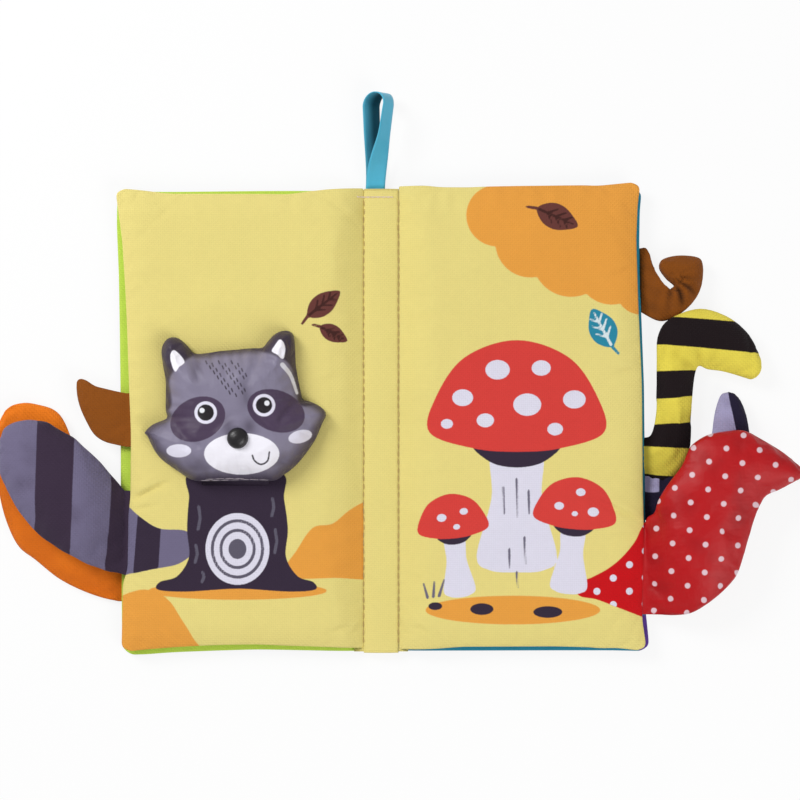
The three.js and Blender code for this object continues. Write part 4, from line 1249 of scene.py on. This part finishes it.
def head_prints(piece, points):
    """The face: mask, eyes, muzzle, cheeks, inner ears, smile, short fur strokes, dark fur and painted shade.
    """
    flat = as_seen(points)
    mask = union(oval_ink(flat, (-94.6, 0.9), (14.7, 11.1), 24),
                 oval_ink(flat, (-54.2, 5.2), (15.3, 10.6), -20))
    whites = union(*[oval_ink(flat, eye, (EYE_RADIUS, EYE_RADIUS)) for eye in EYES])
    pupils = union(*[oval_ink(flat, eye, (PUPIL_RADIUS, PUPIL_RADIUS)) for eye in EYES])
    glints = union(*[oval_ink(flat, place, (GLINT_RADIUS, GLINT_RADIUS)) for place in GLINTS])
    muzzle = oval_ink(flat, (-71.9, -17.0), (19.4, 10.7))
    cheeks = union(oval_ink(flat, (-104.4, -15.4), (6.4, 3.4)), oval_ink(flat, (-41.7, -8.1), (6.2, 3.3), 14))
    ears = union(drawn(flat, [(-108.8, 33.6), (-107.2, 36.5), (-104.2, 34.6), (-101.4, 30.4), (-104.2, 27.9),
                              (-106.2, 25.4), (-107.9, 28.6)]),
                 drawn(flat, [(-52.4, 42.0), (-55.2, 38.4), (-56.4, 36.0), (-53.6, 34.2), (-50.6, 32.0),
                              (-49.4, 36.6), (-50.2, 40.3)]))
    smile = [(-66.4, -17.8), (-65.2, -20.6), (-62.0, -22.4), (-58.6, -20.6), (-57.6, -16.0)]
    lines = [line_ink(flat, curve_through(smile, 6, False), 0.42)]
    for row in range(7):
        for column in range(6):
            x = -90.5 + 3.3 * column + 2.0 * row
            y = 31.0 - 2.6 * row - 1.3 * (column % 2)
            if x < -69.5:
                lines.append(line_ink(flat, [(x, y), (x + 0.6, y - 1.5)], 0.32))
    brow = line_ink(flat, curve_through([(-50.9, 29.0), (-46.6, 23.4), (-43.4, 14.4)], 6, False), 1.2, 0.6)
    keep_inks(piece, mask=mask, eye_white=whites, pupil=pupils, glint=glints, pale=union(muzzle, ears),
              cheek=cheeks, dark_line=union(*lines), white_line=brow)
    # Outside the face the head is dark plum fur: that part is its own colour.
    face = drawn(flat, [(-109.0, 6.0), (-109.2, 20.0), (-106.6, 26.2), (-101.2, 30.9), (-95.5, 33.6),
                        (-82.0, 34.8), (-68.0, 36.0), (-59.0, 35.0), (-51.0, 32.0), (-46.6, 27.6),
                        (-43.4, 17.6), (-42.0, 8.0), (-28.0, 4.0), (-40.0, -30.0), (-104.0, -34.0),
                        (-124.0, -6.0)])
    # Painted shade: the head darkens towards its rim, more widely along the jaw, and in soft patches.
    rim = area_ink(points[:, :2], head_outline(120))
    reach = 4.2 + 4.5 * smooth((2.0 - flat[:, 1]) / 14)
    rim_painted_shade = 0.9 * (1 - smooth((rim - 0.3) / reach))
    for x, y, wide, high, strength in HEAD_PAINTED_SHADE:
        rim_painted_shade = np.maximum(rim_painted_shade, strength * np.exp(-((flat[:, 0] - x) / wide) ** 2
                                                            - ((flat[:, 1] - y) / high) ** 2))
    keep_value(piece, "dark_fur_and_painted_shade", np.clip(np.maximum(1 - smooth((face + 0.9) / 1.8), rim_painted_shade), 0, 1))


def head_form(sides, rings):
    """Points and faces of the head's stuffed front over its flat back."""
    rim = head_outline(sides)
    centre = np.array([HEAD_CENTRE_X + 1.0, HEAD_CENTRE_Y])
    shares = 1 - np.linspace(0, 1, rings, endpoint=False) ** 1.35
    points = []
    for share in [1.0] + list(shares):
        points += [(*(centre + (place - centre) * share), 0.0) for place in rim]
    points = np.array(points + [(*centre, 0.0), (*centre, 0.0)])
    distance = -area_ink(points[:, :2], rim)
    inward = np.clip(-distance, 0, None)
    dome = (1 - (1 - np.clip(inward / 25.0, 0, 1)) ** 2.3) ** 0.62
    z = HEAD_BASE + HEAD_EDGE + (HEAD_THICKNESS - HEAD_EDGE - 1.0) * dome
    x, y = points[:, 0], points[:, 1]
    z += 1.1 * np.exp(-(((x + 71.8) / 15) ** 2 + ((y + 16.0) / 9) ** 2))
    z -= 1.0 * np.exp(-(((x + 90.6) / 9) ** 2 + ((y - 5) / 8) ** 2)) * dome
    z -= 1.0 * np.exp(-(((x + 60.4) / 9) ** 2 + ((y - 8) / 8) ** 2)) * dome
    flat = np.column_stack([x, y, np.zeros(len(x))])
    near = np.exp(-inward / 5.0) * np.clip(inward / 0.8, 0, 1)
    angle = np.arctan2(y - centre[1], x - centre[0])
    z += near * 0.6 * np.sin(angle * 34 + 3 * cloud(flat, 20, 4.0))
    z += dome * (0.8 * cloud(flat, 22, 5.5) + 0.35 * cloud(flat, 9, 8.5))
    for route, depth, half_width in HEAD_CREASES:
        away = -line_ink(points[:, :2], curve_through(route, 5, False), 0.0)
        z -= depth * dome * (np.exp(-(away / half_width) ** 2) - 0.4 * np.exp(-((away - 2.2 * half_width)
                                                                             / (1.4 * half_width)) ** 2))
    z[:sides] = HEAD_BASE
    z[-1] = HEAD_BASE
    points[:, 2] = z
    rows = rings + 1
    faces = grid_faces(sides, rows, wrap=True)
    first_inner = (rows - 1) * sides
    top, bottom = len(points) - 2, len(points) - 1
    faces += fan(first_inner, sides, top) + fan(0, sides, bottom, True)
    return points, faces


class BOOK_OT_head(bpy.types.Operator):
    """Stuff the animal's head and sew it on along its chin"""
    bl_idname = "book.stuff_head"
    bl_label = "Stuff head"

    def execute(self, context):
        sizes, colours = context.scene.book_sizes, context.scene.book_colours
        points, faces = head_form(HEAD_SIDES, HEAD_RINGS)
        held = np.zeros(len(points), bool)
        held[:2 * HEAD_SIDES] = held[-1] = True
        swelled = stuffed_by_simulation(points, faces, held, *HEAD_AIR, sizes.head_swell / MM)
        swelled[:, 2] = np.clip(swelled[:, 2], HEAD_BASE, HEAD_BASE + HEAD_THICKNESS)
        head = make_piece("head_front", swelled, faces)
        finer(head, "SIMPLE")
        head_prints(head, points_of(head))
        # The head's shade mixes in plum: the dark fur's own colour, and painted shade near the rim and in
        # patches.
        head.data.materials.append(named_material(
            "head_satin", colour=colours.grey, pitch=sizes.satin_pitch, satin=True, roughness=0.36,
            sheen=0.06, tone=0.05, fold_depth=0.0014, shade=("dark_fur_and_painted_shade", colours.plum, 0.95),
            inks=(("mask_ink", toned(colours.plum, 1.9)), ("pale_ink", (0.94, 0.92, 1.0)),
                  ("cheek_ink", colours.lavender), ("eye_white_ink", colours.lavender),
                  ("pupil_ink", (0.012, 0.008, 0.012)), ("glint_ink", (0.85, 0.85, 0.9)),
                  ("dark_line_ink", toned(colours.plum, 0.6)), ("white_line_ink", (0.75, 0.74, 0.82)))))
        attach(head, "head")
        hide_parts("stuffed_head")
        rim = head_outline(160)
        centre = rim.mean(axis=0)
        wide = len(rim)
        points = [(*(centre + (place - centre) * share), level)
                  for share, level in HEAD_BACK for place in rim]
        points += [(*centre, HEAD_BACK[0][1]), (*centre, HEAD_BACK[-1][1])]
        faces = grid_faces(wide, len(HEAD_BACK), turned=True, wrap=True)
        faces += fan(0, wide, len(points) - 2) + fan((len(HEAD_BACK) - 1) * wide, wide, len(points) - 1, True)
        back = make_piece("head_back_cloth", points, faces)
        back.data.materials.append(named_material("head_back", colour=colours.plum, roughness=0.6))
        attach(back, "head")
        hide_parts("head_back_panel")
        first, last = CHIN_HEM_X
        section = [(first, CHIN_HEM_TOP), (last, CHIN_HEM_TOP), (last, CHIN_HEM_LOW), (first, CHIN_HEM_LOW)]
        hem = strip_piece("chin_hem", section, CHIN_Y - 2.2, CHIN_Y + 8, 14)
        hem.data.materials.append(bpy.data.materials["head_back"])
        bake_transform(hem)
        height = height_finder(head)
        for number, (rise, first, last) in enumerate(CHIN_STITCHES):
            route = [(x, CHIN_Y + rise + 0.3 * math.sin(x * 0.16 + number))
                     for x in np.linspace(first, last, 24)]
            chin = stitch_row(f"chin_stitches_{number + 1}", route, 0.17, 5.0, 0.97,
                              lambda x, y: height(x, y, HEAD_BASE + 1), 0.16, 0.1, 5.0 + number)
            chin.data.materials.append(named_material("pale_thread", colour=colours.pink_thread))
            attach(chin, "head")
        return {"FINISHED"}


# The tails

# How thick a tail is, by the share of its length from the root
PLUMP = np.array([[0, 0], [0.12, 0.5], [0.3, 0.86], [0.5, 1], [0.75, 0.94], [0.9, 0.68], [1, 0.2]])
RISE_SHARE = 0.34
TAIL_SEAM_HALF = 0.5
TAIL_STATIONS, TAIL_SIDES = 62, 44
HELD_ROOT_SHARE, HELD_EDGE_SHARE = 0.02, 0.985
# Bends that crumple: their middle, half widths, the hub of the folds, depth, folds and wander
CRUMPLED_BENDS = {
    "brown_curled_tail": ((155, 66), (8, 9), (150.5, 75), 1.9, 12, 2),
    "hooked_striped_tail": ((165, 30), (8, 8), (168, 24), 0.55, 9, 1),
}

# Each tail's sizes, and its rails from root to tip as shares of its reach and height: (out, up) of its upper
# edge and (out, up) of its lower edge
TAILS = {
    "grey_striped_tail": {
        "leaf": "left_page", "seam": -132.86, "sewn": -128.4, "reach": 67.6, "height": 81.5, "low": -80.5,
        "thickness": 15, "rest": 15.8, "slot": "tail_grey",
        "rails": [(0.00, 0.545, 0.00, 0.01), (0.05, 0.60, 0.05, 0.025), (0.102, 0.653, 0.115, 0.035),
                  (0.166, 0.723, 0.19, 0.062), (0.231, 0.780, 0.27, 0.088), (0.298, 0.831, 0.36, 0.131),
                  (0.363, 0.882, 0.45, 0.168), (0.431, 0.913, 0.53, 0.213), (0.499, 0.945, 0.61, 0.258),
                  (0.567, 0.980, 0.68, 0.315), (0.637, 0.990, 0.74, 0.375), (0.704, 0.995, 0.79, 0.430),
                  (0.773, 0.988, 0.84, 0.503), (0.841, 0.970, 0.885, 0.58), (0.905, 0.922, 0.925, 0.66),
                  (0.94, 0.79, 0.94, 0.79)]},
    "orange_tail": {
        "leaf": "front_cover", "seam": -136.57, "sewn": -133.4, "reach": 64, "height": 103.2, "low": -93.9,
        "thickness": 7.6, "rest": 4.1, "slot": "tail_orange",
        "rails": [(0.00, 0.41, 0.00, 0.00), (0.12, 0.49, 0.14, 0.02), (0.25, 0.61, 0.31, 0.06),
                  (0.36, 0.79, 0.49, 0.12), (0.44, 0.91, 0.67, 0.21), (0.52, 0.965, 0.81, 0.28),
                  (0.64, 0.99, 0.91, 0.41), (0.77, 1.00, 0.97, 0.56), (0.90, 0.97, 1.00, 0.70),
                  (1.00, 0.86, 1.00, 0.86)]},
    "brown_flat_tail": {
        "leaf": "left_page", "seam": -131.91, "sewn": -127.9, "reach": 27.9, "height": 35.1, "low": -13.4,
        "thickness": 3.2, "rest": 7.8, "slot": "tail_brown",
        "rails": [(0.00, 0.79, 0.00, 0.00), (0.19, 0.82, 0.19, 0.03), (0.40, 0.86, 0.41, 0.08),
                  (0.58, 0.90, 0.60, 0.19), (0.74, 0.98, 0.76, 0.41), (0.85, 1.00, 0.86, 0.60),
                  (0.91, 0.96, 0.905, 0.75), (0.92, 0.87, 0.92, 0.87)]},
    "red_dotted_tail": {
        "leaf": "right_page", "seam": 136.63, "sewn": 132.9, "reach": 80.5, "height": 95.5, "low": -100.1,
        "thickness": 18, "rest": 18.8, "slot": "tail_red",
        "rails": [(0.00, 0.497, 0.00, 0.00), (0.016, 0.529, 0.09, 0.00), (0.053, 0.553, 0.18, 0.00),
                  (0.069, 0.614, 0.28, 0.015), (0.112, 0.688, 0.375, 0.065), (0.165, 0.752, 0.474, 0.135),
                  (0.215, 0.808, 0.557, 0.213), (0.251, 0.879, 0.593, 0.287), (0.284, 0.924, 0.633, 0.403),
                  (0.379, 0.974, 0.678, 0.529), (0.504, 0.995, 0.716, 0.605), (0.612, 0.997, 0.753, 0.65),
                  (0.728, 0.948, 0.828, 0.678), (0.852, 0.884, 0.902, 0.711), (0.94, 0.824, 0.96, 0.74),
                  (1.00, 0.78, 1.00, 0.78)]},
    "hooked_striped_tail": {
        "leaf": "back_cover", "seam": 137.45, "sewn": 134.6, "shift": -2.0, "reach": 61.4, "height": 86.9,
        "low": -28.9, "thickness": 12, "rest": 6.3, "slot": "tail_yellow_black",
        "rails": [(0.00, 0.23, 0.00, -0.02), (0.08, 0.25, 0.24, -0.02), (0.12, 0.38, 0.39, 0.15),
                  (0.12, 0.53, 0.41, 0.37), (0.12, 0.69, 0.43, 0.55), (0.13, 0.84, 0.45, 0.63),
                  (0.23, 0.94, 0.48, 0.66), (0.47, 1.00, 0.55, 0.64), (0.69, 0.96, 0.66, 0.63),
                  (0.86, 0.87, 0.77, 0.61), (0.97, 0.75, 0.86, 0.59), (1.00, 0.66, 0.92, 0.58),
                  (0.97, 0.60, 0.97, 0.60)]},
    "white_navy_tail": {
        "leaf": "back_cover", "seam": 137.45, "sewn": 134.6, "reach": 53.7, "height": 68.1, "low": -53.1,
        "thickness": 9, "rest": 4.8, "slot": "tail_white_navy",
        "rails": [(0.00, 0.365, 0.00, 0.02), (0.18, 0.365, 0.20, 0.00), (0.39, 0.36, 0.47, 0.02),
                  (0.55, 0.47, 0.74, 0.11), (0.62, 0.60, 0.92, 0.30), (0.64, 0.70, 1.00, 0.56),
                  (0.66, 0.82, 0.99, 0.74), (0.69, 0.915, 0.94, 0.89), (0.73, 0.98, 0.87, 0.975),
                  (0.80, 1.00, 0.80, 1.00)]},
    "brown_curled_tail": {
        "leaf": "back_cover", "seam": 137.74, "sewn": 131.6, "reach": 32.5, "height": 37, "low": 54.4,
        "thickness": 11, "rest": 5.8, "slot": "tail_brown",
        "rails": [(-0.11, 0.953, -0.11, 0.068), (0.01, 0.946, 0.205, -0.07), (0.091, 0.74, 0.454, -0.015),
                  (0.168, 0.50, 0.684, 0.138), (0.228, 0.368, 0.832, 0.326), (0.302, 0.305, 0.891, 0.515),
                  (0.387, 0.385, 0.891, 0.729), (0.427, 0.422, 0.805, 0.823), (0.32, 0.504, 0.508, 0.847),
                  (0.227, 0.61, 0.266, 0.799), (0.193, 0.705, 0.193, 0.705)]},
}


def tail_form(name, stations, sides):
    """Points and faces of a stuffed tail, with each point's place along and around it."""
    tail = TAILS[name]
    leaf = LEAVES[tail["leaf"]]
    side, level = leaf["side"], leaf["level"]
    rails = curve_through(np.array(tail["rails"]), 10, closed=False)
    given = np.linspace(0, 1, len(rails))
    t = (1 - (1 - np.linspace(0, 1, stations)) ** 1.25)[:-1]
    rails = np.column_stack([np.interp(t, given, rails[:, k]) for k in range(4)])
    points, along, around = [], [], []

    def ring(upper, lower, half, middle, share):
        for k in range(sides):
            angle = 2 * math.pi * k / sides
            mix = (1 + math.cos(angle)) / 2
            lens = abs(math.sin(angle)) ** 1.12 * math.copysign(1, math.sin(angle))
            x, y = np.array(lower) + (np.array(upper) - np.array(lower)) * mix
            points.append((x, y, middle + half * lens))
            along.append(share)
            around.append(math.cos(angle))

    def place(across, up):
        x = tail["seam"] + side * across * tail["reach"] + tail.get("shift", 0.0)
        return x, tail["low"] + up * tail["height"]

    for number, (share, rail) in enumerate(zip(t, rails)):
        upper, lower = place(rail[0], rail[1]), place(rail[2], rail[3])
        if number == 0:
            edge = place(0, 0)[0]
            for share_in in (1.0, 0.5):
                x = edge + (tail["sewn"] - edge) * share_in
                ring((x, upper[1]), (x, lower[1]), TAIL_SEAM_HALF, level, 0)
        plump = float(np.interp(share, PLUMP[:, 0], PLUMP[:, 1]))
        half = TAIL_SEAM_HALF + (tail["thickness"] / 2 - TAIL_SEAM_HALF) * plump
        middle = level + (tail["rest"] - level) * float(smooth(min(1.0, share / RISE_SHARE)))
        ring(upper, lower, half, middle, share)
    rows = len(points) // sides
    points.append(tuple(np.mean(points[:sides], axis=0)))
    points.append((*place(*tail["rails"][-1][:2]), tail["rest"]))
    faces = grid_faces(sides, rows, wrap=True) + fan(0, sides, len(points) - 2, True)
    faces += fan((rows - 1) * sides, sides, len(points) - 1)
    points = np.array(points)
    along, around = np.array(along + [0.0, 1.0]), np.array(around + [0.0, 0.0])
    if signed_volume(points, faces) < 0:
        faces = [face[::-1] for face in faces]
    return points, faces, along, around


def signed_volume(points, faces):
    """Six times the volume that closed faces hold, which is negative when they look inwards."""
    total = 0.0
    for face in faces:
        for k in range(1, len(face) - 1):
            total += float(np.dot(points[face[0]], np.cross(points[face[k]], points[face[k + 1]])))
    return total


def slanted_band(points, low, high):
    """Signed distance into a band between two slanted lines, each given as (x, y, x, y) from its top down."""
    def side_of(line):
        x0, y0, x1, y1 = line
        return points[:, 0] - (x0 + (points[:, 1] - y0) * (x1 - x0) / (y1 - y0))
    return np.minimum(side_of(low), -side_of(high))


def level_band(points, top, bottom):
    """Signed distance into a band between two near-level lines; each is (x, y at it, x, y at it)."""
    def over(line):
        x0, y0, x1, y1 = line
        return points[:, 1] - (y0 + (points[:, 0] - x0) * (y1 - y0) / (x1 - x0))
    return np.minimum(-over(top), over(bottom))


def tail_prints(name, piece, flat):
    """Stripes of the striped tails and the two halves of the two-coloured one."""
    if name == "grey_striped_tail":
        keep_value(piece, "band_ink", union(
            slanted_band(flat, (-177.4, -1.3, -179.2, -55.7), (-158.5, -10.8, -160.7, -69.0)),
            slanted_band(flat, (-139.4, -32.0, -142.5, -78.7), (-120.0, 0.0, -120.0, -80.0))))
    if name == "hooked_striped_tail":
        keep_value(piece, "band_ink", union(
            level_band(flat, (152, 53.2, 181, 51.0), (140, 39.6, 204, 34.2)),
            np.minimum(level_band(flat, (140, 25.6, 174, 26.3), (140, 11.3, 174, 13.6)), 171.5 - flat[:, 0]),
            level_band(flat, (140, -1.9, 174, 0.1), (136, -13.0, 170, -14.6)),
            level_band(flat, (136, -27.2, 160, -28.9), (136, -60.0, 170, -60.0))))
    if name == "white_navy_tail":
        navy = -slanted_band(flat, (100.0, 15.0, 100.0, -60.0), (179.1, 15.0, 184.0, -10.0))
        root = union(slanted_band(flat, (130.0, 0, 130.0, -60), (136.2, 0, 136.2, -60)),
                     slanted_band(flat, (143.6, 0, 143.6, -60), (157.5, 0, 156.5, -60)),
                     np.minimum(-36.8 - flat[:, 1], 160.0 - flat[:, 0]))
        keep_value(piece, "band_ink", union(navy, root))


class BOOK_OT_tails(bpy.types.Operator):
    """Stuff the seven tails and sew them into the edges of the leaves"""
    bl_idname = "book.stuff_tails"
    bl_label = "Stuff tails"

    def execute(self, context):
        sizes, colours = context.scene.book_sizes, context.scene.book_colours
        # Each shade entry is painted shade: in the folds, and on the orange tail towards its lower edge.
        looks = {
            "grey_striped_tail": dict(
                colour=colours.tail_grey, inks=(("band_ink", colours.tail_dark),), fold_depth=0.0011,
                shade=("fold_painted_shade", colours.tail_dark, 0.4)),
            "orange_tail": dict(
                colour=colours.orange, fold_depth=0.0014, shade=("low_edge_painted_shade", (0.55, 0.10, 0.004), 0.5)),
            "brown_flat_tail": dict(colour=colours.brown, fold_depth=0.0008, sheen=0.15),
            "red_dotted_tail": dict(
                colour=colours.red, pitch=sizes.satin_pitch, satin=True, roughness=0.34, sheen=0.03,
                fold_depth=0.0016, shade=("fold_painted_shade", (0.20, 0.001, 0.004), 0.6),
                dots={"colour": linear("E9C9D2"), "radius": sizes.dot_radius, "pitch": 0.0169, "row": 0.00706,
                      "turn": math.radians(2.5), "move": (-0.0013, -0.00015, 0.0)}),
            "hooked_striped_tail": dict(
                colour=colours.stripe_yellow, inks=(("band_ink", colours.stripe_black),), fold_depth=0.0010,
                shade=("fold_painted_shade", (0.40, 0.28, 0.02), 0.4)),
            "white_navy_tail": dict(
                colour=colours.lilac, inks=(("band_ink", colours.navy),), fold_depth=0.0012,
                shade=("fold_painted_shade", colours.plum, 0.3)),
            "brown_curled_tail": dict(
                colour=toned(colours.brown, 0.9), fold_depth=0.0012, sheen=0.1,
                shade=("fold_painted_shade", (0.045, 0.014, 0.002), 0.9)),
        }
        for number, (name, tail) in enumerate(TAILS.items()):
            leaf = LEAVES[tail["leaf"]]
            points, faces, along, around = tail_form(name, TAIL_STATIONS, TAIL_SIDES)
            held = (along < HELD_ROOT_SHARE) | (np.abs(around) > HELD_EDGE_SHARE)
            swell = min(1.0, 0.09 * tail["thickness"])
            swelled = stuffed_by_simulation(points, faces, held, *TAIL_AIR, swell)
            flat = as_seen(points)
            relief_at = np.column_stack([swelled[:, 0], swelled[:, 1], np.zeros(len(swelled))])
            middle = leaf["level"] + (tail["rest"] - leaf["level"]) * smooth(along / RISE_SHARE)
            top = np.sign(points[:, 2] - middle)
            body = smooth(along / 0.1) * (1 - np.abs(around) ** 3) * smooth((1 - along) / 0.06)
            depth = (0.035 * tail["thickness"] + 0.12) * (1.7 if name == "red_dotted_tail" else 1.25)
            lumps = cloud(relief_at, 15, 3.3 + number) + 0.5 * cloud(relief_at, 6, 9.1 + number)
            near_edge = np.exp(-(1 - np.abs(around)) / 0.10) * (np.abs(around) < 0.99)
            pucker = near_edge * np.sin(along * 150 + 4 * lumps)
            root_fold = np.exp(-along / 0.16) * np.sin(around * 11 + number) * smooth(along / 0.05)
            relief = depth * (0.9 * lumps * body + 0.35 * pucker) + 0.5 * depth * root_fold
            if name in CRUMPLED_BENDS:
                place, half_widths, hub, strength, folds, wander = CRUMPLED_BENDS[name]
                bend = np.exp(-(((swelled[:, :2] - place) / half_widths) ** 2).sum(axis=1))
                turn = np.arctan2(swelled[:, 1] - hub[1], swelled[:, 0] - hub[0])
                relief += bend * strength * np.sin(turn * folds + wander * lumps) * (1 - np.abs(around) ** 3)
            swelled[:, 2] += relief * top
            # Painted shade in the folds: the colour darkens where the relief sinks the cloth.
            fold_painted_shade = np.clip(-relief / (1.4 if name == "brown_curled_tail" else depth), 0, 1)
            lo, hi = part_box(name)
            swelled[:, 2] = np.clip(swelled[:, 2], lo.z / MM, hi.z / MM + 0.8)
            piece = make_piece(name + "_cloth", swelled, faces)
            tail_prints(name, piece, flat)
            keep_print_places(piece, flat)
            keep_value(piece, "fold_painted_shade", fold_painted_shade)
            # Painted shade on the orange tail: darker towards its lower edge, in uneven patches.
            keep_value(piece, "low_edge_painted_shade", np.clip(0.55 - 0.65 * (around + 0.2) - 0.5 * lumps, 0, 1))
            piece.data.materials.append(named_material(name.replace("_tail", "") + "_cloth", **looks[name]))
            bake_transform(piece)
            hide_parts(name)
        return {"FINISHED"}


class BOOK_OT_fillings(bpy.types.Operator):
    """Give the nose and the hidden wadding, film and squeaker their materials"""
    bl_idname = "book.dress_fillings"
    bl_label = "Dress fillings"

    def execute(self, context):
        fibre = moulded_material("wadding_fibre", (0.80, 0.79, 0.76), 0.85, 900.0, 0.0006)
        film = moulded_material("crackle_film", (0.72, 0.76, 0.79), 0.22, 120.0, 0.0004, 0.05)
        plastic = moulded_material("squeaker_plastic", (0.82, 0.82, 0.80), 0.35, 600.0, 0.00005, 0.03)
        button = moulded_material("nose_black", (0.010, 0.008, 0.010), 0.30, 1400.0, 0.00006, 0.3)
        for name, node in frame["nodes"].items():
            for words, material in (("wadding", fibre), ("crackle_film", film), ("squeaker", plastic),
                                    ("nose", button)):
                if name.endswith(words):
                    node.data.materials.clear()
                    node.data.materials.append(material)
        shade_smooth(frame["nodes"]["head_nose"].data)
        return {"FINISHED"}


# The stage

FLOOR_HALF, FLOOR_LEVEL = 4000, -0.4
FLOOR_TONE, FLOOR_GLOW = 0.86, 0.86
WORLD_LIGHT = 0.42
CAMERA_SENSOR, CAMERA_LENS = 36.0, 85.0
# Lamp, place in metres, side in metres and power in watts
LAMPS = (("key_box", (-0.95, 0.75, 0.95), 0.6, 16.0), ("fill_box", (0.85, -0.85, 0.95), 0.9, 9.8))


class BOOK_OT_stage(bpy.types.Operator):
    """Set the pale floor, the soft light and the camera"""
    bl_idname = "book.set_stage"
    bl_label = "Set stage"

    def execute(self, context):
        scene = context.scene
        corners = ((-1, -1), (1, -1), (1, 1), (-1, 1))
        corners = [(x * FLOOR_HALF, y * FLOOR_HALF, FLOOR_LEVEL) for x, y in corners]
        floor = make_piece("floor", corners, [[0, 1, 2, 3]])
        material, n = new_surface("floor_paper")
        paper = n.new("ShaderNodeBsdfDiffuse")
        paper.inputs["Color"].default_value = (FLOOR_TONE, FLOOR_TONE, FLOOR_TONE, 1)
        glow = n.new("ShaderNodeEmission")
        glow.inputs["Color"].default_value = (1, 1, 1, 1)
        rays = n.new("ShaderNodeLightPath")
        blend = n.new("ShaderNodeMixShader")
        n.feed(blend.inputs[0], n.math("MULTIPLY", rays.outputs["Is Camera Ray"], FLOOR_GLOW))
        n.feed(blend.inputs[1], paper.outputs[0])
        n.feed(blend.inputs[2], glow.outputs[0])
        n.surface(blend.outputs[0])
        floor.data.materials.append(material)
        world = bpy.data.worlds.new("studio") if scene.world is None else scene.world
        scene.world = world
        world.use_nodes = True
        background = world.node_tree.nodes.get("Background")
        background.inputs[0].default_value = (1, 1, 1, 1)
        background.inputs[1].default_value = WORLD_LIGHT
        for name, place, size, power in LAMPS:
            data = bpy.data.lights.new(name, "AREA")
            data.size, data.energy = size, power
            lamp = bpy.data.objects.new(name, data)
            lamp.location = place
            lamp.rotation_mode = "QUATERNION"
            lamp.rotation_quaternion = (-Vector(place)).to_track_quat("-Z", "Y")
            scene.collection.objects.link(lamp)
        camera_data = bpy.data.cameras.new("camera")
        camera_data.sensor_width, camera_data.lens = CAMERA_SENSOR, CAMERA_LENS
        camera = bpy.data.objects.new("camera", camera_data)
        camera.location = CAMERA
        camera.rotation_euler = (0, 0, 0)
        camera_data.clip_start, camera_data.clip_end = 0.01, 20.0
        scene.collection.objects.link(camera)
        scene.camera = camera
        scene.view_settings.view_transform = "Standard"
        return {"FINISHED"}


class BOOK_PT_panel(bpy.types.Panel):
    """Sidebar panel that lists the book's steps and settings"""
    bl_label = "Baby texture book"
    bl_idname = "BOOK_PT_panel"
    bl_space_type = "VIEW_3D"
    bl_region_type = "UI"
    bl_category = "Book"

    def draw(self, context):
        layout = self.layout
        for operator in OPERATORS:
            layout.operator(operator.bl_idname)
        for group in (context.scene.book_sizes, context.scene.book_colours):
            column = layout.column()
            for name in group.bl_rna.properties.keys():
                if name not in {"rna_type", "name"}:
                    column.prop(group, name)


OPERATORS = (BOOK_OT_leaves, BOOK_OT_spine, BOOK_OT_ribbon, BOOK_OT_head, BOOK_OT_tails, BOOK_OT_fillings,
             BOOK_OT_stage)
CLASSES = (BookSizes, BookColours, *OPERATORS, BOOK_PT_panel)


def register():
    for item in CLASSES:
        bpy.utils.register_class(item)
    bpy.types.Scene.book_sizes = bpy.props.PointerProperty(type=BookSizes)
    bpy.types.Scene.book_colours = bpy.props.PointerProperty(type=BookColours)


def unregister():
    del bpy.types.Scene.book_sizes
    del bpy.types.Scene.book_colours
    for item in reversed(CLASSES):
        bpy.utils.unregister_class(item)


def main():
    register()
    for operator in OPERATORS:
        family, name = operator.bl_idname.split(".")
        getattr(getattr(bpy.ops, family), name)()


if __name__ == "__main__":
    main()
